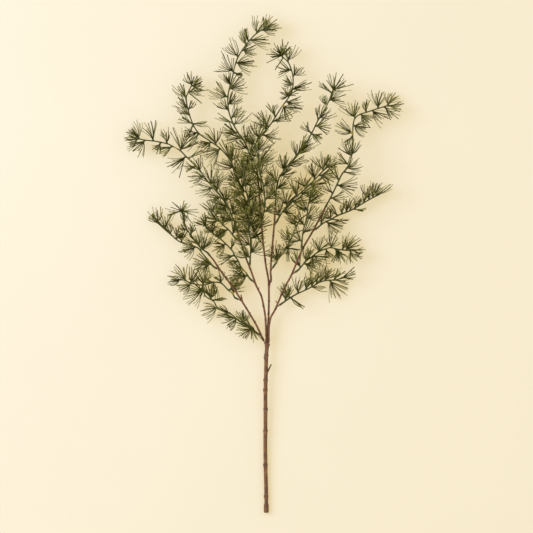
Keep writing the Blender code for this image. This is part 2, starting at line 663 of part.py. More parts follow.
def make_sprig(name, routes, crowd, material, rng):
    """A green sprig: a sleeve over its peg, a thin stem, and a fan of needles at every bud."""
    route = routes[name]
    sprig = list(routes).index(name)
    places = tuft_places(route, SPRIGS[name]["tufts"], random.Random(SEED * 100 + sprig))
    bm = bmesh.new()
    loops = socket_loops(bm, route, SPRIG_BORE_RADIUS, SLEEVE_RADIUS, SPRIG_SIDES, 0)
    sleeve_end = route.mouth + PEG_LENGTH + 1.5 * MM
    shoulder_end = sleeve_end + 4 * MM
    loops.append(ring(bm, route.at(sleeve_end), route.tangent(sleeve_end), SLEEVE_RADIUS * 0.92,
                      SPRIG_SIDES, 0))
    loops.append(ring(bm, route.at(shoulder_end), route.tangent(shoulder_end), SPRIG_RADIUS,
                      SPRIG_SIDES, 0))
    spin = 0.0
    band_of_tuft = []
    for distance, facing in places:
        spin = turned_to(spin, facing)
        taper = 1 - 0.2 * distance / route.length
        band_of_tuft.append(len(loops))
        for edge in (distance - BUD_LENGTH / 2, distance + BUD_LENGTH / 2):
            loops.append(ring(bm, route.at(edge), route.tangent(edge), BUD_RADIUS * taper,
                              SPRIG_SIDES, spin))
    loops.append(ring(bm, route.at(route.length), route.tangent(route.length), SPRIG_END_RADIUS,
                      SPRIG_SIDES, spin))
    bands, end_cap = skin(bm, loops)
    for number, (distance, facing) in enumerate(places):
        make_tuft(bm, bands[band_of_tuft[number]], facing, route, (sprig, distance), crowd, rng)
    make_tip_brush(bm, end_cap, route, (sprig, route.length), crowd, rng)
    finish_object(name, bm, material)


def build():
    clear_scene()
    rng = random.Random(SEED)
    routes = plan_routes()
    make_main_stem(routes, plastic("main_stem_brown", STEM_BROWN, 0.55))
    for name in BRANCHES:
        make_branch(name, routes, plastic(name + "_brown", BRANCH_BROWN, 0.5))
    crowd = crowd_of_stems(routes)
    for number, name in enumerate(SPRIGS):
        shade = 1 + 0.12 * math.sin(2.4 * number)
        green = tuple(channel * shade for channel in NEEDLE_GREEN)
        make_sprig(name, routes, crowd, plastic(name + "_green", green, 0.48), rng)


build()
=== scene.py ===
# %% [markdown]
# # A larch spray lying on a pale table
# The real object is a long decorative spray: a moulded brown stem, five brown branches pushed onto
# its head, and nineteen green sprigs pushed onto pegs of the branches. Each sprig carries a tuft of
# flat, pointed needles every centimetre or so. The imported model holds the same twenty-five pieces
# in a plain form. This script gives every one of them its real surface: bark with scars and
# streaks, sleeves with a moulded rim, and about four thousand single needles.
#
# The frame is loaded first, because all sizes and places follow it.

import math
import random

import bpy
import numpy as np
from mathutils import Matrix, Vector


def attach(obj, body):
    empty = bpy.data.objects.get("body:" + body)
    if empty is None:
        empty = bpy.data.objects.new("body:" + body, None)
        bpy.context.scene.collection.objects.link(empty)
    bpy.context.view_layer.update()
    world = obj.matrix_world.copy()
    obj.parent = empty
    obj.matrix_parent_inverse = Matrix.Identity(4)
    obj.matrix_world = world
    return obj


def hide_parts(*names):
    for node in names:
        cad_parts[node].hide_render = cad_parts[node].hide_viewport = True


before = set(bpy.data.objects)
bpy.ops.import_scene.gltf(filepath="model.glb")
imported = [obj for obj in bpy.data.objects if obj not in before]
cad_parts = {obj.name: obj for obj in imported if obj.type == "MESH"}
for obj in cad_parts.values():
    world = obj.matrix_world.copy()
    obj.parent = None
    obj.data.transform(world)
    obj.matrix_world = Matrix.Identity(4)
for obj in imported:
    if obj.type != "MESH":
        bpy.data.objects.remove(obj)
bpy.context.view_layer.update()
print("pieces in the frame:", len(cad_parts))

# %% [markdown]
# ## Where each piece runs
# A spray is a set of lines in space. The plan of each line was traced from the photograph in steps
# of 1.9 mm, with x to the right and y downwards, and its heights above the table are listed in mm
# along the line. A piece could instead be measured from the frame's mesh, but a line gives more: a
# direction, a distance from the foot and a place for every bud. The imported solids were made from
# the same lines, so what is built on them here lies where the solids lie.

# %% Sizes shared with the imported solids
MM = 0.001
STEP = 0.0019
MIDDLE_X = 262.0
MIDDLE_Y = 264.0
GAP = 0.3 * MM
STEM_RADIUS = 3.9 * MM
STEM_SHOWN_RADIUS = 3.7 * MM
HEAD_RADIUS = 4.7 * MM
SEAT_SPREAD = 2.6 * MM
BRANCH_RADIUS = 1.9 * MM
BRANCH_TIP_RADIUS = 1.7 * MM
PEG_RADIUS = 0.9 * MM
PEG_LENGTH = 6.0 * MM
SPUR_RADIUS = 1.6 * MM
BRANCH_PEG_ANGLES = (math.radians(20), math.radians(50))
SPRIG_PEG_ANGLES = (math.radians(32), math.radians(60))
SLEEVE_RADIUS = 2.2 * MM
SLEEVE_SHOWN_RADIUS = 2.0 * MM
SLEEVE_BORE_RADIUS = 1.3 * MM
SPRIG_RADIUS = 1.5 * MM
SPRIG_END_RADIUS = 1.15 * MM
COLLAR_RADIUS = 2.3 * MM
COLLAR_BORE_RADIUS = 1.45 * MM
NODE_SWELL = 1.22
BARE_LENGTH = 22 * MM
TUFT_SEED = 12

# %% Routes of the brown pieces
STEM_ROUTE = [(266.3, 513.4), (266.3, 498), (265.9, 480), (265.5, 466), (265.3, 445), (265.5, 431),
              (265.5, 410), (265.5, 390.5), (266, 372), (266.4, 356), (267.3, 342.5)]
STEM_HEIGHTS = [4.6, 5.5, 7, 9.5, 12, 14]
STEM_NODES = [31, 91, 156, 197, 234, 253, 300]


def line(on, heights, route, seat=None, tufts=""):
    """One piece: what carries it, its line, its seat on the stem's head, the sides of its tufts."""
    return {"on": on, "heights": heights, "route": route, "seat": seat, "tufts": tufts}


BRANCHES = {
    "branch_left": line("main_stem", [16, 18, 21, 23, 26], [
        (266.6, 347.5), (263, 339.5), (256.4, 325.4), (250.3, 314.8), (243.4, 303.6), (235.4, 291.2),
        (229.2, 282.4), (219.6, 269.3), (214, 260.8), (209.9, 255.7)]),
    "branch_inner": line("main_stem", [17, 20, 27, 34, 40], [
        (266.2, 334), (265.7, 323), (264.8, 313), (261.6, 297), (258.3, 290), (255.5, 283.8),
        (250.6, 269.7), (246.4, 259.2), (241.8, 245.2), (239.8, 240.1), (237.2, 230.9)], seat=(-0.87, 0.5)),
    "branch_middle": line("main_stem", [11.5, 13, 20, 28, 36, 44], [
        (267.6, 334), (268.2, 322), (268.7, 313), (268.7, 283), (265.8, 265), (263.8, 248.8),
        (262.2, 233.5), (261.2, 220.7), (260.7, 210.5), (259.7, 200), (259.2, 190),
        (258.5, 184)], seat=(0.0, -1.0)),
    "branch_right": line("main_stem", [17, 20, 27, 34, 40], [
        (268.7, 334), (269.2, 325), (271, 317), (275.4, 309), (284, 289), (291.6, 274.6), (299, 257),
        (303, 248), (313.6, 229.7), (325, 208)], seat=(0.87, 0.5)),
    "branch_fork": line("branch_middle", [19, 25, 31, 37, 42], [
        (268.7, 290), (270.6, 271), (271.9, 251.3), (273, 238.6), (274.2, 224.8), (275.4, 207)]),
}

# Broken twigs of each piece: where one leaves, where it ends, and its two radii in mm.
STUBS = {
    "main_stem": [((266.3, 375.5), (271.4, 364.2), 1.9, 1.3), ((266.3, 362.5), (263.6, 357.5), 1.6, 0.7),
                  ((266.6, 349), (269.9, 344.6), 1.8, 0.9)],
    "branch_left": [((242.6, 302.6), (240.9, 294.6), 1.6, 1.2)],
    "branch_inner": [((258.6, 291), (258.9, 287.2), 1.3, 0.7)],
    "branch_right": [((277.2, 304.6), (275.6, 300.6), 1.3, 0.7)],
    "sprig_middle_2": [((281.5, 60), (275, 70), 1.3, 0.9)],
    "sprig_middle_1": [((190, 93), (202, 103.5), 1.3, 0.9)],
    "sprig_fork_1": [((293.5, 233.5), (304, 229.5), 1.3, 0.9)],
}

# %% Routes of the green sprigs. The ones named tip continue their branch, the others leave its side
SPRIGS = {
    "sprig_left_1": line("branch_left", [19, 17, 17, 18], [
        (261.5, 336.5), (255.5, 330), (252, 327), (242.9, 323), (236.6, 318.9), (229.6, 313.2),
        (217.6, 307.6), (213.4, 301.3), (205.7, 296.4), (202.9, 290)], tufts="LRLRLLRLR"),
    "sprig_left_2": line("branch_left", [22, 19, 18, 18], [
        (242, 301.6), (238, 299.9), (232.4, 293.6), (227.5, 289.4), (221.1, 283.2), (213.4, 282.4),
        (202.9, 285.2), (190.3, 283), (185.4, 280.6), (181, 279.5)], tufts="RLRLRLRLR"),
    "sprig_left_3": line("branch_left", [23, 18, 17, 18], [
        (220.4, 270.4), (214, 264.8), (208.5, 260.4), (203, 254.4), (199, 249), (194.4, 246.5),
        (181.7, 242.6), (176, 239.2), (170.8, 234.6), (165.5, 230.2), (157.5, 222.8)], tufts="LRLRLRLRLR"),
    "sprig_left_tip": line("branch_left", [28, 36, 40, 40], [
        (209.9, 255.7), (205, 252), (202, 249), (197.2, 243.6), (192, 236.5), (186.3, 228.4), (184, 222.7),
        (183, 216), (181.9, 212.6)], tufts="RLRLRLR"),
    "sprig_inner_1": line("branch_inner", [26, 22, 20, 20], [
        (255.5, 284), (252, 280.4), (245.7, 272.5), (241, 267), (238.2, 261), (234.5, 255.4),
        (231.7, 250.1), (221.4, 239.8), (213.3, 234), (205.6, 226.4)], tufts="LRLRLRLRLRL"),
    "sprig_inner_2": line("branch_inner", [38, 34, 30], [
        (240.5, 242), (234.7, 235.5), (229.4, 230.6), (224, 226), (220.8, 222.6), (216.8, 216.8),
        (214, 212.5)], tufts="RLRLR"),
    "sprig_inner_3": line("branch_inner", [42, 54, 60, 62, 62, 60], [
        (249.6, 267), (250.5, 253), (250.8, 248.8), (250.5, 238.6), (249, 228.4), (250, 215.6),
        (249.5, 205.4), (246, 190), (243.4, 169)], tufts="LRLRLRLRLRLRLR"),
    "sprig_inner_tip": line("branch_inner", [41, 46, 42, 30, 22, 20], [
        (237.2, 230.9), (235, 223), (231.6, 215.6), (229, 208), (223, 199), (215.7, 190.8), (209.9, 184),
        (201.3, 172.6), (193.7, 164), (186, 156.4), (180.2, 150.6), (173.6, 146.8), (166.9, 143.6),
        (154.5, 141), (144.9, 140), (138.5, 138.6)], tufts="LRLRLRLRLRLLRRLRLRLRL"),
    "sprig_middle_1": line("branch_middle", [28, 24, 22, 22, 26, 28, 26, 24], [
        (263.4, 246), (258.2, 237), (255.6, 230.9), (252.6, 223.3), (249, 212), (245, 200), (241, 187),
        (237.4, 177), (233.7, 167.3), (229.6, 159.2), (220.4, 148.7), (209, 140.4), (199, 133.4),
        (192.7, 123.8), (188, 109.5), (186.2, 98), (188.5, 91.5),
        (191.5, 85.5)], tufts="LRLRLRLRLRLRLRLRLRLRLLLRR"),
    "sprig_middle_2": line("branch_middle", [46, 66, 70, 70, 64, 52, 42, 34, 30, 28, 27, 26], [
        (261.4, 223), (264.3, 210.5), (265, 203), (264.5, 195), (262.8, 183.7), (260.4, 176),
        (259.4, 170.5), (258.2, 157.7), (255.9, 148.6), (256.2, 142), (263.3, 134.2), (272.5, 121.7),
        (281.2, 107.6), (287.7, 98.9), (292.4, 89.2), (293, 77.2), (291, 68.5), (287.7, 61.6),
        (282, 56.4)], tufts="LRLRLRLRLRLRLLRLRLRLRLRLRLRRL"),
    "sprig_middle_tip": line("branch_middle", [46, 44, 42, 38, 30, 26, 24, 22], [
        (258.5, 184), (257.5, 173.5), (256, 166), (253.6, 160.5), (250.4, 156), (248.4, 151),
        (245.9, 144.5), (241.3, 137.6), (236.8, 130.6), (232.9, 123.2), (228.6, 110.4), (228, 96),
        (230.3, 85), (232.9, 75), (234.5, 67), (237.7, 57.8), (243.4, 48.3), (250, 39.7), (256.8, 33),
        (264, 28.5)], tufts="LRLRLRLLRLRLRLRLRLRLRLRLLR"),
    "sprig_fork_1": line("branch_fork", [24, 20, 20, 22], [
        (270.8, 271), (275, 265), (279.1, 258), (286.2, 248.3), (290.3, 240.6), (294.9, 229.8), (298, 223),
        (302, 218), (309, 212.6), (315, 206)], tufts="LLRLRLRLRLR"),
    "sprig_fork_2": line("branch_fork", [34, 30, 26, 24], [
        (274, 227), (280.1, 215.6), (283.4, 210.5), (290.3, 202.6), (295.4, 197.2), (301.8, 192),
        (311.6, 182.9), (318, 176), (325.5, 168.4)], tufts="LRLRLRLRLRL"),
    "sprig_fork_tip": line("branch_fork", [44, 48, 44, 34, 26, 22], [
        (275.4, 207), (275.7, 198), (276.2, 190), (277.5, 183.2), (280.4, 175.6), (288, 166.2),
        (296.2, 155.8), (305, 144.6), (311.5, 133.6), (319, 118.4), (326.7, 105.4), (332, 93),
        (334.8, 85)], tufts="LRLRLRLRLRLRLRRLLRLR"),
    "sprig_right_1": line("branch_right", [22, 18, 17, 18], [
        (276.3, 308), (283, 303), (290.6, 297.6), (298, 293.5), (305.7, 290), (313.4, 286), (320.6, 281.9),
        (328.2, 280.3), (335.4, 280), (342, 278)], tufts="LRLRLRLRLR"),
    "sprig_right_2": line("branch_right", [28, 23, 19, 18], [
        (291.6, 275.5), (300, 268), (305.7, 261.4), (312, 256.8), (317.7, 252.3), (325.4, 249),
        (331, 247.6), (338.3, 249.3), (345.9, 250.3), (352.5, 250.4)], tufts="LRLRLRLRLRL"),
    "sprig_right_3": line("branch_right", [38, 46, 50, 48], [
        (301.4, 251), (301.9, 241), (302.4, 236), (303.5, 229), (305, 224), (307, 215.4), (308, 206),
        (309.4, 200)], tufts="LRLRLR"),
    "sprig_right_4": line("branch_right", [29, 22, 20, 19], [
        (312.6, 231.4), (318, 226.6), (323.5, 223), (331, 219.4), (337.6, 215.6), (348.4, 211.4),
        (355, 208), (362.5, 203.6), (370, 199.2), (378, 195)], tufts="LRLRLRLRLR"),
    "sprig_right_tip": line("branch_right", [42, 46, 44, 36, 27, 22, 20], [
        (325, 208), (332, 194.8), (337.6, 183), (341.4, 175), (346, 169), (349.9, 162.5), (351.7, 152.5),
        (352.6, 142), (352.8, 130), (354.4, 119.4), (359.4, 114.6), (367, 112), (376, 109),
        (387.6, 105.4)], tufts="RLRLRLLRLRLRLRLRLRL"),
}
LINES = {**BRANCHES, **SPRIGS}
print("branches:", len(BRANCHES), "sprigs:", len(SPRIGS))


# %% [markdown]
# A route is only a handful of points, so a smooth curve is drawn through them. A Catmull-Rom curve
# passes through every point, which a Bezier with free handles would not promise. Every piece then
# starts straight over the peg that carries it and bends into its traced line after that.

# %% Smooth lines that are read by the distance along them
def to_metres(x, y, z):
    """A traced place, with its height in mm, in the frame's own metres."""
    return np.array([(x - MIDDLE_X) * STEP, (MIDDLE_Y - y) * STEP, z * MM])


def with_heights(route, heights):
    """Traced points in metres, with the heights spread evenly along the route."""
    plan = np.array(route, dtype=float)
    walked = np.concatenate([[0], np.cumsum(np.linalg.norm(np.diff(plan, axis=0), axis=1))])
    levels = np.interp(walked / walked[-1], np.linspace(0, 1, len(heights)), heights)
    return [to_metres(x, y, z) for (x, y), z in zip(route, levels)]


def smooth_curve(points, before=None, per_span=10):
    """A Catmull-Rom curve through the points. The point before shapes its first span."""
    first = points[0] * 2 - points[1] if before is None else before
    knots = [first] + list(points) + [points[-1] * 2 - points[-2]]
    curve = []
    for a, b, c, d in zip(knots, knots[1:], knots[2:], knots[3:]):
        for k in range(per_span):
            t = k / per_span
            curve.append(0.5 * (2 * b + (c - a) * t + (2 * a - 5 * b + 4 * c - d) * t ** 2
                                + (3 * b - a - 3 * c + d) * t ** 3))
    curve.append(points[-1])
    return np.array(curve)


class Route:
    """A smooth line in space that is read by the distance along it."""

    def __init__(self, curve, mouth=0.0):
        self.curve = curve
        self.mouth = mouth
        steps = np.linalg.norm(np.diff(curve, axis=0), axis=1)
        self.walked = np.concatenate([[0], np.cumsum(steps)])
        self.length = self.walked[-1]

    def at(self, distance):
        return np.array([np.interp(distance, self.walked, self.curve[:, k]) for k in range(3)])

    def tangent(self, distance):
        reach = 1.5 * MM
        ahead = self.at(min(distance + reach, self.length))
        behind = self.at(max(distance - reach, 0))
        return (ahead - behind) / np.linalg.norm(ahead - behind)

    def nearest(self, x, y):
        """The distance along the line at which it passes closest to a traced place."""
        place = to_metres(x, y, 0)[:2]
        return self.walked[np.argmin(np.linalg.norm(self.curve[:, :2] - place, axis=1))]


def cross_axes(tangent):
    """The directions to the right of a line and up from it, seen along the line from its foot."""
    right = np.cross(tangent, (0, 0, 1))
    right = right / np.linalg.norm(right)
    return right, np.cross(right, tangent)


# %% Every route of the spray, from the main stem outwards
def leave_carrier(start, direction, traced, mouth):
    """A route that runs straight over its peg and then bends into the traced points."""
    run = mouth + PEG_LENGTH + 1 * MM
    end = start + direction * run
    rest = [point for point in traced if np.linalg.norm(point - start) > run + 6 * MM]
    before = end - direction * np.linalg.norm(rest[0] - end)
    straight = np.array([start + direction * run * k / 6 for k in range(6)])
    return Route(np.vstack([straight, smooth_curve([end] + rest, before)]), mouth)


def route_on_side(name, carrier, spec):
    """The route of a piece on a side peg, which points towards the first stretch of its line."""
    traced = with_heights(spec["route"], spec["heights"])
    foot = carrier.nearest(*spec["route"][0])
    start = carrier.at(foot)
    tangent = carrier.tangent(foot)
    target = next(point for point in traced if np.linalg.norm(point - start) > 18 * MM)
    offset = (target - start) / np.linalg.norm(target - start)
    outward = offset - tangent * (offset @ tangent)
    outward = outward / np.linalg.norm(outward)
    least, most = BRANCH_PEG_ANGLES if name in BRANCHES else SPRIG_PEG_ANGLES
    angle = min(max(math.acos(offset @ tangent), least), most)
    direction = tangent * math.cos(angle) + outward * math.sin(angle)
    carrier_radius = STEM_RADIUS * NODE_SWELL if spec["on"] == "main_stem" else BRANCH_RADIUS
    own_radius = COLLAR_RADIUS if name in BRANCHES else SLEEVE_RADIUS
    mouth = (carrier_radius + GAP) / math.sin(angle) + own_radius / math.tan(angle)
    return leave_carrier(start, direction, traced, mouth)


def plan_routes():
    """Work out the line of every piece, each from the line of the piece that carries it."""
    lines = {"main_stem": Route(smooth_curve(with_heights(STEM_ROUTE, STEM_HEIGHTS)))}
    for name, spec in LINES.items():
        carrier = lines[spec["on"]]
        if not spec["seat"] and not name.endswith("_tip"):
            lines[name] = route_on_side(name, carrier, spec)
            continue
        along = carrier.tangent(carrier.length)
        start = carrier.at(carrier.length)
        if spec["seat"]:
            right, up = cross_axes(along)
            across, above = spec["seat"]
            start = start + (right * across + up * above) * SEAT_SPREAD
        traced = with_heights(spec["route"], spec["heights"])
        lines[name] = leave_carrier(start, along, traced, GAP)
    return lines


routes = plan_routes()
print("length of all lines in metres:", round(sum(line.length for line in routes.values()), 2))


# %% [markdown]
# ## Node trees, wired by name
# Materials and Geometry Nodes are both node trees. A small bench that makes a node, sets its
# inputs and links it in one call keeps each tree short enough to read. A node can have several
# inputs with one name, of which only one is in use, so the bench picks the one in use.

# %% A bench for wiring node trees
class Bench:
    """Makes nodes in one tree. An input is given as a number, a colour or another node's output."""

    def __init__(self, tree):
        self.tree = tree

    def add(self, kind, inputs=None, **settings):
        node = self.tree.nodes.new(kind)
        for name, value in settings.items():
            setattr(node, name, value)
        for name, value in (inputs or {}).items():
            socket = node.inputs[name] if isinstance(name, int) else pick(node.inputs, name)
            if isinstance(value, bpy.types.NodeSocket):
                self.tree.links.new(value, socket)
            else:
                socket.default_value = value
        return node

    def out(self, kind, inputs=None, **settings):
        """Add a node and return the first of its outputs that is in use."""
        return pick(self.add(kind, inputs, **settings).outputs)

    def maths(self, operation, a, b=0.0, c=0.0):
        return self.out("ShaderNodeMath", {0: a, 1: b, 2: c}, operation=operation)

    def vector(self, operation, a, b):
        return self.out("ShaderNodeVectorMath", {0: a, 1: b}, operation=operation)

    def scaled(self, vector, factor):
        return self.out("ShaderNodeVectorMath", {"Vector": vector, "Scale": factor}, operation="SCALE")

    def split(self, vector):
        return self.add("ShaderNodeSeparateXYZ", {"Vector": vector}).outputs

    def combine(self, x, y, z):
        return self.out("ShaderNodeCombineXYZ", {"X": x, "Y": y, "Z": z})


def pick(sockets, name=None):
    """The socket of that name that is in use, or the first one in use."""
    return next(s for s in sockets if s.enabled and (name is None or s.name == name))


def group_tree(name, kind, inputs, outputs):
    """An empty node group with named inputs and outputs."""
    tree = bpy.data.node_groups.new(name, kind)
    for label, socket_type, value in inputs:
        socket = tree.interface.new_socket(label, in_out="INPUT", socket_type=socket_type)
        if value is not None:
            socket.default_value = value
    for label, socket_type in outputs:
        tree.interface.new_socket(label, in_out="OUTPUT", socket_type=socket_type)
    bench = Bench(tree)
    return bench, bench.add("NodeGroupInput").outputs, bench.add("NodeGroupOutput").inputs


# %% [markdown]
# ## Finishes
# All four finishes of the spray are moulded plastic that copies a plant, and they share one thing:
# fine streaks that run along the piece, broken up by softer blotches. Straight streaks on a bent
# stem can't come from a pattern in space, so every piece carries an attribute named grain, the
# place that a point would have if its stem were pulled straight. One group turns that into streaks,
# blotches and a height, and each finish uses it with its own numbers.

# %% The shared group: streaks and blotches along the grain
def make_grain_group():
    number = "NodeSocketFloat"
    bench, given, out = group_tree(
        "moulded grain", "ShaderNodeTree",
        [("Streak Scale", number, 900.0), ("Stretch", number, 0.12),
         ("Blotch Scale", number, 160.0), ("Streak Share", number, 0.6)],
        [("Streaks", number), ("Blotches", number), ("Height", number)])
    grain = bench.add("ShaderNodeAttribute", attribute_name="grain").outputs["Vector"]
    parts = bench.split(grain)
    pulled = bench.combine(parts["X"], parts["Y"], bench.maths("MULTIPLY", parts["Z"], given["Stretch"]))
    streaks = bench.out("ShaderNodeTexNoise", {"Vector": pulled, "Scale": given["Streak Scale"],
                                               "Detail": 4.0, "Roughness": 0.6})
    blotches = bench.out("ShaderNodeTexNoise", {"Vector": grain, "Scale": given["Blotch Scale"],
                                                "Detail": 3.0, "Roughness": 0.55})
    own = bench.maths("MULTIPLY", streaks, given["Streak Share"])
    rest = bench.maths("MULTIPLY", blotches, bench.maths("SUBTRACT", 1.0, given["Streak Share"]))
    height = bench.maths("ADD", own, rest)
    for label, value in (("Streaks", streaks), ("Blotches", blotches), ("Height", height)):
        bench.tree.links.new(value, out[label])
    return bench.tree


GRAIN = make_grain_group()


def finish(name, grain_values, bump_height, roughness, specular=0.5):
    """A material with its grain group, its roughness range and its bump, still without a colour."""
    material = bpy.data.materials.new(name)
    material.use_nodes = True
    bench = Bench(material.node_tree)
    shader = material.node_tree.nodes["Principled BSDF"]
    shader.inputs["Specular IOR Level"].default_value = specular
    grain = bench.add("ShaderNodeGroup", node_tree=GRAIN)
    for label, value in grain_values.items():
        grain.inputs[label].default_value = value
    low, high = roughness
    spread = bench.out("ShaderNodeMapRange", {"Value": grain.outputs["Height"], "From Min": 0.3,
                                              "From Max": 0.7, "To Min": low, "To Max": high})
    bump = bench.out("ShaderNodeBump", {"Height": grain.outputs["Height"], "Strength": 1.0,
                                        "Distance": bump_height})
    bench.tree.links.new(spread, shader.inputs["Roughness"])
    bench.tree.links.new(bump, shader.inputs["Normal"])
    return material, bench, shader, grain.outputs


def mark(bench, name):
    """Read one of the numbers that the points of a piece carry."""
    return bench.add("ShaderNodeAttribute", attribute_name=name).outputs["Fac"]


def ramp(bench, value, stops):
    """A colour ramp with stops of (place, red, green, blue)."""
    node = bench.add("ShaderNodeValToRGB", {"Fac": value})
    elements = node.color_ramp.elements
    while len(elements) < len(stops):
        elements.new(0.5)
    for element, (place, *colour) in zip(elements, stops):
        element.position = place
        element.color = (*colour, 1.0)
    return node.outputs["Color"]


def blend(bench, share, first, second, way="MIX"):
    """Two colours mixed by a share. Either may be a fixed one."""
    first, second = [colour if isinstance(colour, bpy.types.NodeSocket) else (*colour, 1.0)
                     for colour in (first, second)]
    return bench.out("ShaderNodeMix", {"Factor": share, "A": first, "B": second},
                     data_type="RGBA", blend_type=way)


# %% [markdown]
# The needles are olive green, some greener and some greyer, and paler towards the tip. At the bud
# they are darkest: painted shade, where the crowded needle bases shade each other. Two attributes
# carry that: tone is one random number for a needle, and along runs from 0 at its foot to 1 at its tip.

# %% Needle green
NEEDLE_TINT = (1.075, 1.003, 1.548)


def make_needle_green():
    material, bench, shader, grain = finish(
        "needle_green", {"Streak Scale": 1500.0, "Stretch": 0.1, "Streak Share": 0.75}, 0.12 * MM,
        (0.42, 0.62), specular=0.05)
    own = ramp(bench, mark(bench, "tone"), [(0.0, 0.026, 0.03, 0.001), (0.45, 0.09, 0.097, 0.008),
                                            (0.8, 0.205, 0.21, 0.04), (1.0, 0.37, 0.37, 0.12)])
    # Painted shade along each needle: darkest at the bud, where the needle bases crowd, paler at the tip.
    shade = ramp(bench, mark(bench, "along"), [(0.0, 0.3, 0.3, 0.24), (0.3, 0.82, 0.82, 0.76),
                                               (1.0, 1.22, 1.2, 1.1)])
    colour = blend(bench, 1.0, own, shade, "MULTIPLY")
    colour = blend(bench, 1.0, colour, NEEDLE_TINT, "MULTIPLY")
    streaked = ramp(bench, grain["Streaks"], [(0.3, 0.75, 0.75, 0.75), (0.7, 1.25, 1.25, 1.25)])
    colour = blend(bench, 0.8, colour, streaked, "MULTIPLY")
    bench.tree.links.new(colour, shader.inputs["Base Color"])
    return material


# %% [markdown]
# The stems of the sprigs are the same plastic, a little darker. In the photograph a few of them
# show ochre where the paint has worn or was never sprayed, mostly beside a bud. An attribute named
# ochre marks those stretches, and blotches break their edges.

# %% Sprig green
def make_sprig_green():
    material, bench, shader, grain = finish(
        "sprig_green", {"Streak Scale": 1100.0, "Stretch": 0.15, "Blotch Scale": 260.0}, 0.15 * MM,
        (0.4, 0.6), specular=0.05)
    green = ramp(bench, grain["Height"], [(0.3, 0.034, 0.04, 0.01), (0.52, 0.084, 0.09, 0.032),
                                          (0.72, 0.17, 0.172, 0.08)])
    worn = ramp(bench, grain["Streaks"], [(0.3, 0.2, 0.15, 0.03), (0.7, 0.42, 0.33, 0.07)])
    broken = bench.maths("MULTIPLY", grain["Blotches"], 2.0)
    edge = bench.maths("MULTIPLY", mark(bench, "ochre"), broken)
    patch = bench.out("ShaderNodeMapRange", {"Value": edge, "From Min": 0.35, "From Max": 0.65})
    bench.tree.links.new(blend(bench, patch, green, worn), shader.inputs["Base Color"])
    return material


# %% [markdown]
# The brown pieces copy bark. The main stem is a greyish brown with pale streaks and dark scars, and
# the branches are redder and smoother. An attribute named scar marks the swellings and cut ends.

# %% Bark browns
SCAR_COLOUR = (0.045, 0.02, 0.012)


def make_bark(name, stops, bump_height, grain_values, roughness):
    material, bench, shader, grain = finish(name, grain_values, bump_height, roughness)
    bark = ramp(bench, grain["Height"], stops)
    mottled = ramp(bench, grain["Blotches"], [(0.32, 0.78, 0.76, 0.74), (0.68, 1.22, 1.2, 1.18)])
    bark = blend(bench, 0.85, bark, mottled, "MULTIPLY")
    edge = bench.maths("MULTIPLY", mark(bench, "scar"), bench.maths("ADD", grain["Streaks"], 0.35))
    colour = blend(bench, edge, bark, SCAR_COLOUR)
    bench.tree.links.new(colour, shader.inputs["Base Color"])
    return material


NEEDLE_GREEN = make_needle_green()
SPRIG_GREEN = make_sprig_green()
STEM_BARK = make_bark(
    "stem_bark", [(0.3, 0.065, 0.023, 0.006), (0.5, 0.155, 0.065, 0.02), (0.7, 0.32, 0.172, 0.075)],
    0.5 * MM,
    {"Streak Scale": 620.0, "Stretch": 0.14, "Blotch Scale": 110.0, "Streak Share": 0.7}, (0.5, 0.72))
BRANCH_BARK = make_bark(
    "branch_bark", [(0.3, 0.065, 0.022, 0.007), (0.5, 0.165, 0.058, 0.018), (0.7, 0.26, 0.12, 0.045)],
    0.3 * MM,
    {"Streak Scale": 900.0, "Stretch": 0.12, "Blotch Scale": 170.0, "Streak Share": 0.6}, (0.45, 0.66))
print("finishes:", [m.name for m in (NEEDLE_GREEN, SPRIG_GREEN, STEM_BARK, BRANCH_BARK)])


# %% [markdown]
# ## Stems
# A stem is a loft: rings of points along a line, joined by quads and closed at both ends. A curve
# with a bevel would be quicker, but it has a round section everywhere and can't turn back into
# itself, and these pieces need both: scars that stand out on one side, and a socket whose bore runs
# back from the rim over the peg. A loft can do both, because every ring is only a list of points.

# %% Lofted skins that carry their grain
SHARP_EDGE = math.radians(48)
STUB_RISE = 1.5


def mark_points(mesh, label, kind, values):
    """Store a value of that kind for every point of a mesh."""
    field = "vector" if kind == "FLOAT_VECTOR" else "value"
    mesh.attributes.new(label, kind, "POINT").data.foreach_set(field, np.ravel(values))


class Skin:
    """Points and faces of one piece while it is built, with the attributes of every point."""

    def __init__(self):
        self.places = []
        self.faces = []
        self.marks = {"grain": [], "ochre": [], "scar": []}

    def ring(self, centre, tangent, radii, grain_z, ochre=0.0, scar=0.0):
        """A loop of points around a line, with one radius for every point."""
        right, up = cross_axes(tangent)
        loop = []
        for k, radius in enumerate(radii):
            angle = math.tau * k / len(radii)
            side = right * math.cos(angle) + up * math.sin(angle)
            loop.append(len(self.places))
            self.places.append(centre + side * radius)
            self.marks["grain"].append((math.cos(angle) * radius, math.sin(angle) * radius, grain_z))
            self.marks["ochre"].append(ochre)
            self.marks["scar"].append(scar)
        return loop

    def close(self, loops):
        """Join a run of loops with quads, and close both ends."""
        for near, far in zip(loops, loops[1:]):
            for k in range(len(near)):
                after = (k + 1) % len(near)
                self.faces.append((near[k], far[k], far[after], near[after]))
        self.faces.append(tuple(loops[0]))
        self.faces.append(tuple(reversed(loops[-1])))

    def mesh(self, name):
        mesh = bpy.data.meshes.new(name)
        mesh.from_pydata([tuple(p) for p in self.places], [], self.faces)
        for label, kind in (("grain", "FLOAT_VECTOR"), ("ochre", "FLOAT"), ("scar", "FLOAT")):
            mark_points(mesh, label, kind, np.array(self.marks[label], np.float32))
        mesh.shade_smooth()
        mesh.set_sharp_from_angle(angle=SHARP_EDGE)
        return mesh


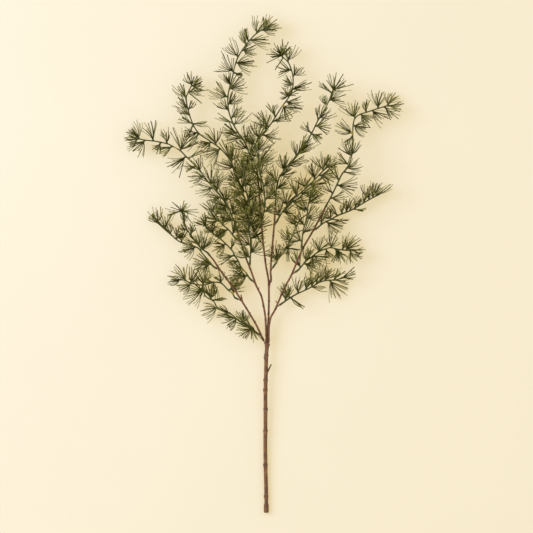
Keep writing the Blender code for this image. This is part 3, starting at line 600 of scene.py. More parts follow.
def loft(skin, route, first, rings, sides, profile):
    """Loops from a distance to the end of a route. The profile takes a distance, and returns what
    the loop's points carry and a rule for the radius at each angle."""
    loops = []
    for k in rings:
        distance = first + (route.length - first) * k / rings[-1]
        marks, radius_at = profile(distance)
        radii = [radius_at(math.tau * side / sides) for side in range(sides)]
        loops.append(skin.ring(route.at(distance), route.tangent(distance), radii, distance, **marks))
    return loops


def rod(skin, start, direction, length, profile, sides=8):
    """A straight closed rod. The profile lists (share of the length, radius) from foot to tip."""
    loops = []
    for share, radius in profile:
        place = start + direction * length * share
        loops.append(skin.ring(place, direction, [radius] * sides, length * share))
    skin.close(loops)


def broken_twig(skin, route, foot, tip, thick, thin):
    """A stub where a twig broke off, with a slightly rounded end that stands a little higher."""
    start = route.at(route.nearest(*foot))
    end = to_metres(tip[0], tip[1], start[2] / MM + STUB_RISE)
    length = np.linalg.norm(end - start)
    profile = [(0, thick * MM), (0.45, (thick + thin) / 2 * MM), (0.86, thin * MM),
               (0.97, thin * 0.85 * MM), (1.0, thin * 0.45 * MM)]
    rod(skin, start, (end - start) / length, length, profile)


def add_outgrowths(skin, name):
    """The pegs that a piece holds out for others, each on a spur with a thick root, and its stubs."""
    for child, spec in LINES.items():
        if spec["on"] != name or child.endswith("_tip"):
            continue
        route = routes[child]
        sunk, root = (2 * MM, PEG_RADIUS) if spec["seat"] else (0, SPUR_RADIUS)
        length = PEG_LENGTH + route.mouth - GAP + sunk
        clear = (route.mouth - GAP + sunk) / length
        profile = [(0, root), (clear * 0.5, (root + PEG_RADIUS) / 2), (clear, PEG_RADIUS),
                   (0.95, PEG_RADIUS), (1.0, PEG_RADIUS * 0.7)]
        direction = route.tangent(0)
        rod(skin, route.at(0) - direction * sunk, direction, length, profile)
    for stub in STUBS.get(name, []):
        broken_twig(skin, routes[name], *stub)


# %% [markdown]
# ## The main stem
# The stem is about 8 mm thick and 325 mm long. It has a wider cut foot, low rings where whorls of
# leaves once grew, shallow furrows, and a head that the branches stand on. The rings are made with
# a bell curve over the distance to the nearest node, a little higher on one side, and the furrows
# with a few sines around the stem, so that the surface is uneven but closes on itself.

# %% Bark relief: furrows, swellings and scars
def furrows(angle, distance, seed, waves=((3, 23.0), (5, 41.0), (8, 67.0))):
    """A smooth uneven number from -1 to 1 that closes on itself around the stem."""
    total = 0.0
    for number, (around, along) in enumerate(waves):
        total += math.sin(around * angle + along * distance * 2 + seed * (number + 1.7)) / (number + 1.6)
    return total / 1.4


def bell(distance, middle, width):
    """A hump of height 1 around the middle."""
    return math.exp(-((distance - middle) / width) ** 2)


def fade(distance, place, softness):
    """A number that falls from 1 to 0 where the distance passes the place."""
    return 1 / (1 + math.exp((distance - place) / softness))


# %% The thick stem, with its foot, nodes and head
STEM_RINGS_EVERY = 1.5 * MM
STEM_SIDES = 28
FOOT_LENGTH = 16.5 * MM
FOOT_SWELL = 1.0 * MM
WAIST_PLACE = 20 * MM
WAIST_DEPTH = 0.3 * MM
HEAD_LENGTH = 8 * MM
NODE_WIDTH = 3.2 * MM
LEDGE_HEIGHT = 0.2 * MM
NODE_TURN = 90


def stem_profile(distance):
    length = routes["main_stem"].length
    node = min(STEM_NODES, key=lambda place: abs(place * MM - distance)) * MM
    swell = bell(distance, node, NODE_WIDTH)
    ledge = bell(distance, node + 1.6 * MM, 0.9 * MM) - bell(distance, node + 3.4 * MM, 1.2 * MM)
    foot = fade(distance, FOOT_LENGTH, 0.9 * MM)
    waist = bell(distance, WAIST_PLACE, 3 * MM)
    head = fade(length - HEAD_LENGTH, distance, 1.6 * MM)
    rim = min(1.0, 0.86 + 0.14 * distance / (2 * MM))
    dome = min(1.0, 0.8 + 0.2 * (length - distance) / (2.5 * MM))

    def radius_at(angle):
        lean = math.cos(angle - node * NODE_TURN)
        radius = STEM_SHOWN_RADIUS * (1 + 0.035 * furrows(angle, distance, 2.0))
        radius += STEM_SHOWN_RADIUS * swell * (0.22 + 0.14 * lean) + LEDGE_HEIGHT * ledge
        radius += foot * FOOT_SWELL + head * (HEAD_RADIUS - STEM_SHOWN_RADIUS) - waist * WAIST_DEPTH
        return radius * rim * dome

    scar = 0.6 * bell(distance, node + 1.0 * MM, 1.8 * MM)
    scar += 0.7 * bell(distance, WAIST_PLACE, 1.8 * MM) + 0.1 * foot
    return {"scar": min(1.0, scar)}, radius_at


def make_main_stem():
    route = routes["main_stem"]
    skin = Skin()
    rings = range(int(route.length / STEM_RINGS_EVERY) + 1)
    skin.close(loft(skin, route, 0.0, rings, STEM_SIDES, stem_profile))
    add_outgrowths(skin, "main_stem")
    return skin


# %% [markdown]
# ## The branches
# A branch is 3.8 mm thick at its collar and hardly tapers. It starts with a collar that is pushed
# over its peg and ends in a peg of its own. Small one-sided bumps mark old buds.

# %% Branches with their collars. Bumps come about every 26 mm
BRANCH_SIDES = 14
BUMP_STEP = 26
RIM_DEPTH = 0.7 * MM


def socket(skin, route, bore, outer, sides):
    """The loops of a socket, from the bottom of its bore out to its rounded rim."""
    mouth = route.mouth
    tangent = route.tangent(2 * MM)
    rim = 0.35 * MM
    loops = []
    for distance, radius in ((mouth + PEG_LENGTH, bore * 0.9), (mouth + PEG_LENGTH - rim, bore),
                             (mouth + rim, bore), (mouth, bore + rim * 0.5), (mouth, outer - rim),
                             (mouth + rim, outer)):
        loops.append(skin.ring(route.at(distance), tangent, [radius] * sides, distance, scar=0.6))
    return loops


def make_branch(name):
    """A branch, with its collar, bud bumps, pegs and broken twigs."""
    route = routes[name]
    seed = 1.0 + 3.1 * list(BRANCHES).index(name)
    collar_end = route.mouth + PEG_LENGTH + 1 * MM

    def profile(distance):
        plain = BRANCH_RADIUS + (BRANCH_TIP_RADIUS - BRANCH_RADIUS) * distance / route.length
        collar = fade(distance, collar_end, 0.9 * MM)
        number = round((distance / MM - seed * 4) / BUMP_STEP)
        middle = (number * BUMP_STEP + seed * 4 + 3 * math.sin(number * 2.3 + seed)) * MM
        bump = bell(distance, middle, 1.9 * MM) * (1 - collar)

        def radius_at(angle):
            lean = max(0.0, math.cos(angle - number * 2.4 - seed)) ** 2
            radius = plain * (1 + 0.03 * furrows(angle, distance, seed))
            return radius + plain * bump * (0.08 + 0.3 * lean) + collar * (COLLAR_RADIUS - plain)

        return {"scar": max(0.8 * bump, 0.5 * collar)}, radius_at

    skin = Skin()
    loops = socket(skin, route, COLLAR_BORE_RADIUS, COLLAR_RADIUS, BRANCH_SIDES)
    first = route.mouth + RIM_DEPTH
    rings = range(1, int((route.length - first) / (1.8 * MM)) + 1)
    loops += loft(skin, route, first, rings, BRANCH_SIDES, profile)
    end = route.at(route.length)
    along = route.tangent(route.length)
    for ahead, radius, grain_z in ((0.15 * MM, PEG_RADIUS * 1.3, 0), (0.2 * MM, PEG_RADIUS, 0),
                                   (PEG_LENGTH - GAP, PEG_RADIUS * 0.8, PEG_LENGTH)):
        loops.append(skin.ring(end + along * ahead, along, [radius] * BRANCH_SIDES, route.length + grain_z))
    skin.close(loops)
    add_outgrowths(skin, name)
    return skin


def show(name, data):
    """A new object of the scene, at the origin."""
    item = bpy.data.objects.new(name, data)
    bpy.context.scene.collection.objects.link(item)
    return item


def place_brown(name, skin, material):
    """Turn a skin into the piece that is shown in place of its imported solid."""
    piece = show(name + "_bark", skin.mesh(name + "_bark"))
    piece.data.materials.append(material)
    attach(piece, "root")
    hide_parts(name)


place_brown("main_stem", make_main_stem(), STEM_BARK)
for branch_name in BRANCHES:
    place_brown(branch_name, make_branch(branch_name), BRANCH_BARK)
print("brown pieces:", 1 + len(BRANCHES))


# %% [markdown]
# ## Where the tufts sit
# A tuft is a bud with a fan of needles. The fans are wide in the plane of the sprig and shallower
# across it, because the sprig was pressed in a flat mould and bent out by hand afterwards. That
# hand is why they don't lie in one plane: in turn, one fan is lifted and the next one lowered.
#
# Towards the tips every fan can be told apart in the photograph, so these are traced: the place of
# the bud, the heading of the fan in degrees (0 to the right, 90 upwards in the picture), half of
# its opening in degrees, and how far its needles reach in steps. A fan that opens by more than 75
# to each side is a star: its needles also rise from the plane of the fan.
# Deeper in the spray the fans hide each other. There they follow the rule that the visible ones
# keep: even steps, and turns on the left and the right.

# %% Fans traced from the photograph
TRACED_FANS = {
    "sprig_middle_tip": [
        (265, 29, 35, 40, 11), (268, 28, 75, 32, 9), (263, 32, -4, 24, 16), (257, 33, 82, 32, 14),
        (250, 40, -8, 25, 17), (249, 41, 112, 16, 12), (245, 44, 108, 24, 12), (242.5, 50, 4, 42, 12),
        (238, 57, 125, 28, 16), (237.5, 63, -6, 38, 17), (233, 72, 140, 38, 18), (234, 73, -15, 22, 8),
        (231, 85, 118, 28, 11), (231, 90, 30, 42, 17), (229, 97, 152, 34, 17), (229, 105, 42, 38, 14),
        (228.5, 111, 140, 26, 13), (230.5, 118, 48, 30, 14), (233, 125, 40, 26, 16),
        (232, 124, 155, 12, 15)],
    "sprig_middle_2": [
        (282, 57, 118, 85, 16), (288, 61, 78, 36, 16), (290.5, 70, 172, 36, 13),
        (293.5, 76, 50, 36, 11), (293, 84, 160, 42, 9), (293.5, 90, 12, 22, 16),
        (289, 97, 110, 92, 12), (286, 102, -14, 36, 14), (284, 106, -52, 50, 15),
        (274, 117, 100, 26, 14), (272.5, 122, 12, 16, 17), (268, 127, 142, 38, 17)],
    "sprig_inner_tip": [
        (138.5, 138.6, 200, 34, 12), (139, 138, 115, 33, 16), (136, 139, 160, 30, 11),
        (145, 142, 226, 42, 15), (153.5, 141, 108, 26, 17), (160, 144, 235, 32, 10),
        (167, 143, 98, 26, 12), (172, 147, 210, 26, 14), (181, 150, 66, 45, 17),
        (186, 156, 216, 30, 18), (189, 158, 28, 12, 15), (196, 167, 184, 26, 11),
        (202, 171, 118, 38, 14), (204, 176, 196, 36, 14), (213, 183, 80, 60, 16)],
    "sprig_middle_1": [
        (191.5, 85.5, 92, 52, 11), (194, 83, 0, 55, 10), (190, 92, 4, 26, 15), (187, 97, 130, 30, 15),
        (187, 108, 142, 30, 13), (188, 109, 50, 22, 8), (188.5, 115, 146, 22, 10),
        (193, 124, 152, 28, 14), (193, 124, -2, 12, 14), (193, 125, 238, 12, 16),
        (198, 133, 188, 22, 14), (199, 134, 228, 14, 17), (212, 142, 212, 38, 11),
        (217, 144, 100, 42, 16), (221, 149, 212, 40, 18), (230, 159, 95, 24, 18)],
    "sprig_fork_tip": [
        (333, 91, 58, 48, 15), (332, 93, 140, 10, 14), (330, 101, 18, 40, 14), (326, 105, 110, 26, 9),
        (319, 118, 42, 38, 14), (318, 120, 96, 12, 13), (316, 126, 4, 40, 13), (312, 133, 130, 22, 12),
        (311.5, 134, -36, 30, 11), (301, 151, 58, 22, 14), (297, 155, 46, 26, 18),
        (296, 156.5, 38, 18, 16), (296, 156, 102, 16, 11), (291, 163, 14, 18, 16),
        (288, 166, 24, 22, 15)],
    "sprig_right_tip": [
        (388, 105, -3, 22, 13), (388, 105, 66, 36, 13), (384, 107, -34, 26, 15),
        (378, 108, 88, 36, 17), (372, 111, -42, 32, 16), (366, 112, 95, 26, 10),
        (361, 114, -46, 34, 12), (355, 118, 106, 38, 16), (354, 125, -18, 38, 14),
        (352.5, 134, 152, 32, 16), (352.5, 136, 230, 14, 9), (351.5, 156, 74, 32, 14),
        (351, 157, 122, 26, 14), (347, 164, 150, 28, 15), (346, 169, 32, 38, 14),
        (344, 172, -8, 12, 13), (338, 180, 130, 26, 13), (336, 185, -6, 30, 18),
        (332, 194, 130, 22, 18)],
    "sprig_right_4": [
        (378, 195, 38, 16, 14), (376, 196, 76, 34, 12), (373, 197.5, 90, 34, 12),
        (369, 199.5, 95, 30, 13), (364, 202.5, 80, 22, 9), (358, 206, 56, 16, 9),
        (355, 208, 72, 28, 10), (354, 209, -6, 10, 11), (350, 210.5, 76, 20, 9),
        (346, 212, 82, 24, 11), (342, 213.6, 86, 20, 10),
        (337, 215, 128, 16, 13), (331, 219, 122, 46, 10), (332, 219, -5, 10, 15)],
    "sprig_right_2": [
        (352.5, 250.4, -12, 24, 9), (346, 250, 50, 50, 15), (350, 251, -62, 42, 12),
        (342, 250, 60, 30, 10), (338, 250, -76, 38, 12), (335, 249, -58, 26, 10),
        (331, 248, 75, 42, 13), (326, 249, -70, 28, 12),
        (318, 252, 76, 48, 13), (313, 256, -16, 24, 16), (312, 257, -76, 32, 11),
        (309, 259, 82, 26, 11), (305.7, 261.4, 76, 36, 13)],
    "sprig_right_1": [
        (341, 278, 18, 24, 14), (336, 280, -12, 14, 13), (334, 280, 58, 24, 12),
        (330, 280, -58, 32, 19), (325, 281, 62, 36, 12), (320.6, 281.9, 74, 36, 16),
        (316, 284.5, 70, 28, 11), (312, 287, 86, 30, 13), (312, 287, -10, 12, 12),
        (305.7, 290, 74, 26, 11), (298, 293.5, 86, 30, 15), (290, 298, 116, 34, 13),
        (291, 297.6, -42, 6, 15)],
    "sprig_fork_1": [
        (279.1, 258, 135, 78, 14), (286.2, 248.3, 0, 170, 14), (290.3, 240.6, 128, 32, 13),
        (296, 227, 112, 32, 13)],
    "sprig_left_1": [
        (203, 291, 190, 56, 17), (211, 299, 85, 40, 13), (212, 300, 5, 8, 13),
        (217, 307.6, 200, 38, 15), (229.6, 313.2, 165, 40, 11), (236, 318.5, 175, 26, 13),
        (236.6, 318.9, 230, 18, 12), (242.9, 323, 90, 50, 11), (251, 326.5, 255, 50, 14)],
    "sprig_left_2": [
        (181, 279.5, 188, 30, 11), (186, 280.5, 125, 32, 17), (190, 283, 60, 40, 13),
        (191, 283, 215, 30, 13), (203, 285, 85, 42, 13), (203, 285, 258, 26, 11),
        (213.4, 282.4, 175, 22, 9), (213.4, 283, -88, 22, 14), (221, 283.3, 105, 36, 10),
        (228.5, 290, 32, 36, 14)],
    "sprig_left_3": [
        (157.5, 222.8, 148, 16, 10), (158, 223, 95, 34, 13), (165, 230, 95, 36, 16),
        (171, 234.8, 110, 32, 12), (176, 239.2, 60, 42, 10), (181.7, 242.6, 100, 40, 11),
        (194, 246.5, 162, 36, 13), (195, 246.6, 215, 26, 14), (200, 250.5, 60, 32, 16),
        (208, 260, 230, 50, 14)],
    "sprig_left_tip": [
        (181.9, 212.6, 90, 112, 15), (184.5, 223, 86, 30, 10), (188, 231, 140, 32, 9),
        (191, 235, 82, 36, 9), (199, 246, 110, 40, 14), (203, 250, 58, 30, 15)],
    "sprig_inner_1": [
        (206, 227, 125, 46, 12), (213, 233.8, 120, 54, 10), (220, 238.8, 95, 46, 9),
        (226, 244, 205, 42, 12), (231, 249.5, 75, 18, 9), (234.5, 255.4, 190, 24, 16),
        (238, 261, 192, 18, 9), (243, 269.5, 165, 36, 14), (243, 270, 226, 16, 17)],
}
print("fans traced:", sum(len(fans) for fans in TRACED_FANS.values()))

# %% Tufts of one sprig, as points with attributes
FAN_LEAST = math.radians(30)
FAN_MOST = math.radians(56)
FAN_DEPTH = 0.38
FAN_WIDER = 1.22
FAN_WIDEST = math.radians(74)
STAR_FROM = math.radians(75)
STAR_DEPTH = 0.36
STAR_RISE = 0.6
LIFTS = (0.42, -0.22)
LIFT_NOISE = 0.22
RULED_LIFT = 1.6
ROOT_SHARE = 0.6
ONE_NEEDLE_EVERY = math.radians(6.6)
FEWEST_NEEDLES = 6
MOST_NEEDLES = 28
NEEDLE_REACH_STEPS = 16.0
FORWARD_SWEEP = 0.3
RULED_FILL = 1.12
CROWDED_FILL = 1.4
CROWDED = ("sprig_inner_2", "sprig_inner_3")
TRACED_CLEARANCE = 5 * MM
TIP_OPEN = math.radians(48)


def fan(place, distance, facing, axis, tangent, opening, size, rng):
    """One tuft. Its normal is square with its axis, and its needles sweep to the sprig's tip."""
    normal = cross_axes(tangent)[1]
    normal = normal - axis * (normal @ axis)
    normal = normal / np.linalg.norm(normal)
    forward = np.cross(normal, axis) @ tangent
    is_star = opening > STAR_FROM
    count = round(2 * opening / ONE_NEEDLE_EVERY) + rng.randint(0, 2)
    return {
        "place": place, "distance": distance, "facing": facing, "axis": axis,
        "normal": normal, "opening": opening, "size": size,
        "sweep": 0.0 if is_star else FORWARD_SWEEP * math.copysign(min(1.0, abs(forward) * 2), forward),
        "depth": STAR_DEPTH if is_star else FAN_DEPTH, "rise": STAR_RISE if is_star else 0.0,
        "curl": 0.0 if is_star else rng.uniform(-0.3, 1.0),
        "count": min(max(count, FEWEST_NEEDLES), MOST_NEEDLES)}


def ruled_fans(name, rng):
    """Fans at even steps that take turns on the left and the right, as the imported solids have."""
    route = routes[name]
    shared = random.Random(TUFT_SEED * 100 + list(routes).index(name))
    sides = SPRIGS[name]["tufts"]
    room = route.length - 5 * MM - BARE_LENGTH
    fans = []
    for k, side in enumerate(sides):
        distance = BARE_LENGTH + room * (k + shared.uniform(-0.14, 0.14)) / (len(sides) - 1)
        distance = min(max(distance, BARE_LENGTH), BARE_LENGTH + room)
        lift = shared.uniform(-0.45, 0.55) * RULED_LIFT
        facing = lift if side == "R" else math.pi - lift
        tangent = route.tangent(distance)
        right, up = cross_axes(tangent)
        outward = right * math.cos(facing) + up * math.sin(facing)
        place = route.at(distance) + outward * ROOT_SHARE * SPRIG_RADIUS
        lean = math.radians(rng.uniform(38, 66))
        axis = tangent * math.cos(lean) + outward * math.sin(lean)
        opening = rng.uniform(FAN_LEAST, FAN_MOST)
        tuft = fan(place, distance, facing, axis, tangent, opening, rng.uniform(0.95, 1.1), rng)
        tuft["count"] = round(tuft["count"] * (CROWDED_FILL if name in CROWDED else RULED_FILL))
        fans.append(tuft)
    return fans


def traced_fans(name, rng):
    """Fans at the places and with the headings that the photograph shows."""
    route = routes[name]
    fans = []
    for x, y, heading, opening, reach in TRACED_FANS[name]:
        distance = route.nearest(x, y)
        turn = math.radians(heading)
        flat = np.array([math.cos(turn), math.sin(turn), 0.0])
        tangent = route.tangent(distance)
        right, up = cross_axes(tangent)
        axis = flat + up * (LIFTS[len(fans) % 2] + rng.uniform(-LIFT_NOISE, LIFT_NOISE))
        slant = np.linalg.norm(axis)
        axis = axis / slant
        facing = 0.0 if axis @ right > 0 else math.pi
        place = route.at(distance) + axis * 0.4 * SPRIG_RADIUS
        size = reach / NEEDLE_REACH_STEPS * slant
        half = math.radians(opening)
        if half < STAR_FROM:
            half = min(half * FAN_WIDER, FAN_WIDEST)
        fans.append(fan(place, distance, facing, axis, tangent, half, size, rng))
    return fans


def plan_tufts(name, rng):
    """All the tufts of a sprig: traced where the photograph shows them, ruled elsewhere."""
    route = routes[name]
    fans = ruled_fans(name, rng)
    if name in TRACED_FANS:
        traced = traced_fans(name, rng)
        first = min(tuft["distance"] for tuft in traced) - TRACED_CLEARANCE
        return [tuft for tuft in fans if tuft["distance"] < first] + traced
    along = route.tangent(route.length)
    end = route.at(route.length)
    return fans + [fan(end, route.length, 0.0, along, along, TIP_OPEN, 0.9, rng)]


# %% [markdown]
# ## The stem of a sprig
# Its foot is a sleeve, 4 mm thick, that is pushed over a peg; a rounded shoulder leads from it to
# the thin stem. The stem swells towards the side of each bud, so that the buds look grown on.

# %% Sleeves and thin stems
SPRIG_SIDES = 10
OCHRE_SPOTS = [(232, 293), (208, 260), (246, 143), (233, 68), (278, 260), (244, 271), (176, 147),
               (191, 158), (283, 106), (352, 133)]
OCHRE_REACH = 5.5 * MM


def ochre_at(place):
    """How worn the paint is at a place, from the spots seen in the photograph."""
    near = [np.linalg.norm(place[:2] - to_metres(x, y, 0)[:2]) for x, y in OCHRE_SPOTS]
    return bell(min(near), 0.0, OCHRE_REACH)


def make_sprig_stem(name, tufts):
    """A sprig's sleeve and stem, with its swellings under the buds."""
    route = routes[name]
    seed = 0.7 * len(name) + list(SPRIGS).index(name)
    sleeve_end = route.mouth + PEG_LENGTH + 3 * MM

    def profile(distance):
        plain = SPRIG_RADIUS + (SPRIG_END_RADIUS - SPRIG_RADIUS) * distance / route.length
        sleeve = fade(distance, sleeve_end, 1.3 * MM)
        tuft = min(tufts, key=lambda near: abs(near["distance"] - distance))
        swell = bell(distance, tuft["distance"] + 0.6 * MM, 2.2 * MM)

        def radius_at(angle):
            lean = max(0.0, math.cos(angle - tuft["facing"]))
            radius = plain * (1 + 0.04 * furrows(angle, distance, seed))
            return radius + plain * swell * (0.1 + 0.35 * lean) + sleeve * (SLEEVE_SHOWN_RADIUS - plain)

        return {"ochre": ochre_at(route.at(distance))}, radius_at

    skin = Skin()
    loops = socket(skin, route, SLEEVE_BORE_RADIUS, SLEEVE_SHOWN_RADIUS, SPRIG_SIDES)
    first = route.mouth + RIM_DEPTH
    rings = range(1, int((route.length - first) / (1.7 * MM)) + 1)
    loops += loft(skin, route, first, rings, SPRIG_SIDES, profile)
    along = route.tangent(route.length)
    loops.append(skin.ring(route.at(route.length) + along * 0.8 * MM, along,
                           [SPRIG_END_RADIUS * 0.6] * SPRIG_SIDES, route.length))
    skin.close(loops)
    add_outgrowths(skin, name)
    return skin


# %% [markdown]
# ## Needles, grown by Geometry Nodes
# About four thousand needles repeat one rule, so a node tree makes them. It takes the mesh of a
# sprig's stem with the loose tuft points, copies every tuft point once for each of its needles, and
# spreads the copies evenly over the opening of the fan, with a little chance in every angle.
# A needle is a pointed blade with a ridge: a bowed curve with a kite for its section. The tree
# makes five of them with different bows, and picks one for each place by the sweep and the curl of
# its tuft. Long and short needles are equally thick, because only the length is scaled by chance.
# A needle that would pass through the table is lifted, so that it lies on it instead.
#
# Hair curves would be lighter, but they are not a mesh and the other tools can't read them.

# %% Helpers for the tree that grows needles and buds
def named(bench, name, data_type="FLOAT"):
    """Read an attribute of the points."""
    node = bench.add("GeometryNodeInputNamedAttribute", {"Name": name}, data_type=data_type)
    return pick(node.outputs, "Attribute")


def store(bench, geometry, name, value, data_type, domain="POINT"):
    return bench.out("GeometryNodeStoreNamedAttribute",
                     {"Geometry": geometry, "Name": name, "Value": value},
                     data_type=data_type, domain=domain)


def position(bench):
    return bench.out("GeometryNodeInputPosition")


def chance(bench, given, low, high, draw):
    """A random number for every needle. Each draw has a seed of its own."""
    seed = bench.maths("ADD", given["Seed"], draw)
    return bench.out("FunctionNodeRandomValue", {"Min": low, "Max": high, "Seed": seed}, data_type="FLOAT")


def join(bench, geometries):
    """One geometry made of several, which stand in it from the last to the first."""
    node = bench.add("GeometryNodeJoinGeometry")
    for geometry in geometries:
        bench.tree.links.new(geometry, node.inputs[0])
    return node.outputs[0]


def sweep_along(bench, line, widths, section):
    """A closed skin around a line. Its width follows the listed shares of the line's length."""
    along = bench.add("GeometryNodeSplineParameter").outputs["Factor"]
    node = bench.add("ShaderNodeFloatCurve", {"Value": along})
    points = node.mapping.curves[0].points
    while len(points) < len(widths):
        points.new(0.5, 0.5)
    for point, (place, width) in zip(points, widths):
        point.location = (place, width / WIDEST)
    node.mapping.update()
    width = bench.maths("MULTIPLY", node.outputs[0], WIDEST)
    line = bench.out("GeometryNodeSetCurveRadius", {"Curve": line, "Radius": width})
    return bench.out("GeometryNodeCurveToMesh", {"Curve": line, "Profile Curve": section,
                                                 "Fill Caps": True})


def copy_to(bench, points, shape, rotation, scale, **picked):
    more = {key.replace("_", " "): value for key, value in picked.items()}
    return bench.out("GeometryNodeInstanceOnPoints", {
        "Points": points, "Instance": shape, "Rotation": rotation, "Scale": scale, **more})


# %% One needle, and the turn of each
BENDS = [-0.2, -0.1, 0.0, 0.1, 0.2]
BEND_PICK = 1.2
BEND_CHANCE = 0.8
NEEDLE_RINGS = 7
WIDEST = 1.2
NEEDLE_WIDTHS = [(0.0, 0.55), (0.1, 0.8), (0.3, 1.0), (0.55, 0.8), (0.8, 0.42), (1.0, 0.04)]
BUD_WIDTHS = [(0.0, 0.95), (0.35, 1.0), (0.6, 1.12), (0.85, 0.8), (1.0, 0.35)]
SWING_CHANCE = 0.14


def blade(bench, bend, width, thickness):
    """One needle of unit length along Z, bowed to the side of X, with its attributes."""
    line = bench.out("GeometryNodeCurveQuadraticBezier", {
        "Resolution": NEEDLE_RINGS, "Start": (0, 0, 0), "Middle": (-bend, 0, 0.5),
        "End": (0.35 * bend, 0, 1)})
    along = bench.add("GeometryNodeSplineParameter").outputs["Factor"]
    line = store(bench, line, "along", along, "FLOAT")
    ridge = bench.maths("MULTIPLY", thickness, 0.5)
    section = bench.out("GeometryNodeCurvePrimitiveQuadrilateral",
                        {"Width": width, "Bottom Height": ridge, "Top Height": ridge}, mode="KITE")
    mesh = sweep_along(bench, line, NEEDLE_WIDTHS, section)
    return store(bench, mesh, "grain", position(bench), "FLOAT_VECTOR")


def needle_turns(bench, given, index):
    """The turn, the length and the place across the fan, from -1 to 1, of every needle."""
    axis = named(bench, "axis", "FLOAT_VECTOR")
    normal = named(bench, "normal", "FLOAT_VECTOR")
    side = bench.vector("CROSS_PRODUCT", normal, axis)
    share = bench.maths("DIVIDE", bench.maths("ADD", index, 0.5), named(bench, "count"))
    place = bench.maths("MULTIPLY_ADD", share, 2.0, -1.0)
    loose = bench.maths("ADD", place, chance(bench, given, -SWING_CHANCE, SWING_CHANCE, 1))
    swing = bench.maths("MULTIPLY", loose, named(bench, "opening"))
    ahead = bench.maths("COSINE", swing)
    across = bench.maths("SINE", swing)
    flat = bench.vector("ADD", bench.scaled(axis, ahead), bench.scaled(side, across))
    sideways = bench.vector("SUBTRACT", bench.scaled(side, ahead), bench.scaled(axis, across))
    wobble = chance(bench, given, -1.0, 1.0, 2)
    rise = bench.maths("MULTIPLY_ADD", wobble, named(bench, "depth"), named(bench, "rise"))
    heading = bench.vector("ADD", bench.scaled(flat, bench.maths("COSINE", rise)),
                           bench.scaled(normal, bench.maths("SINE", rise)))
    size = chance(bench, given, given["Shortest"], given["Longest"], 3)
    length = bench.maths("MULTIPLY", size, named(bench, "size"))
    parts = bench.split(heading)
    room = bench.maths("SUBTRACT", given["Table Margin"], bench.split(position(bench))["Z"])
    level = bench.maths("MAXIMUM", parts["Z"], bench.maths("DIVIDE", room, length))
    turn = bench.out("FunctionNodeAxesToRotation",
                     {"Primary Axis": bench.combine(parts["X"], parts["Y"], level),
                      "Secondary Axis": sideways}, primary_axis="Z", secondary_axis="X")
    return turn, length, place


# %% The tree itself
def grow_needles(bench, given, points):
    """Every tuft point copied for its needles, with a blade on each copy."""
    copies = bench.add("GeometryNodeDuplicateElements",
                       {"Geometry": points, "Amount": named(bench, "count", "INT")}, domain="POINT")
    turn, length, place = needle_turns(bench, given, copies.outputs["Duplicate Index"])
    blades = join(bench, [bench.out("GeometryNodeGeometryToInstance", {
        "Geometry": blade(bench, bend, given["Width"], given["Thickness"])}) for bend in reversed(BENDS)])
    middle = (len(BENDS) - 1) / 2
    cupped = bench.maths("MULTIPLY", named(bench, "curl"), place)
    bent = bench.maths("SUBTRACT", named(bench, "sweep"), cupped)
    curl = bench.maths("MULTIPLY_ADD", bent, BEND_PICK * middle, middle)
    noise = chance(bench, given, -BEND_CHANCE, BEND_CHANCE, 4)
    which = bench.maths("ROUND", bench.maths("ADD", curl, noise))
    which = bench.maths("MINIMUM", bench.maths("MAXIMUM", which, 0.0), len(BENDS) - 1.0)
    stretch = bench.combine(given["Girth"], given["Girth"], length)
    placed = copy_to(bench, copies.outputs[0], blades, turn, stretch,
                     Pick_Instance=True, Instance_Index=which)
    placed = store(bench, placed, "tone", chance(bench, given, 0.0, 1.0, 5), "FLOAT", "INSTANCE")
    return bench.out("GeometryNodeRealizeInstances", {"Geometry": placed})


def grow_buds(bench, given, points):
    """A short round bud under every tuft."""
    line = bench.out("GeometryNodeCurvePrimitiveLine", {"Start": (0, 0, -0.25), "End": (0, 0, 1)})
    line = bench.out("GeometryNodeResampleCurve", {"Curve": line, "Count": 6})
    section = bench.out("GeometryNodeCurvePrimitiveCircle", {"Resolution": 8, "Radius": 0.5})
    bud = sweep_along(bench, line, BUD_WIDTHS, section)
    bud = store(bench, bud, "grain", bench.scaled(position(bench), 0.004), "FLOAT_VECTOR")
    turn = bench.out("FunctionNodeAlignRotationToVector",
                     {"Vector": named(bench, "axis", "FLOAT_VECTOR")}, axis="Z")
    placed = copy_to(bench, points, bud, turn, given["Bud Length"])
    return bench.out("GeometryNodeRealizeInstances", {"Geometry": placed})


def lay_on_table(bench, geometry, finish):
    """Press what comes close to the table softly onto it, never through it, and give it its finish."""
    soft = 1.2 * MM
    parts = bench.split(position(bench))
    fallen = bench.maths("EXPONENT", bench.maths("DIVIDE", bench.maths("SUBTRACT", parts["Z"], soft), soft))
    pressed = bench.maths("MULTIPLY", fallen, soft)
    low = bench.maths("LESS_THAN", parts["Z"], soft)
    kept = bench.maths("MULTIPLY", bench.maths("SUBTRACT", 1.0, low), parts["Z"])
    height = bench.maths("ADD", bench.maths("MULTIPLY", low, pressed), kept)
    laid = bench.combine(parts["X"], parts["Y"], height)
    geometry = bench.out("GeometryNodeSetPosition", {"Geometry": geometry, "Position": laid})
    return bench.out("GeometryNodeSetMaterial", {"Geometry": geometry, "Material": finish})


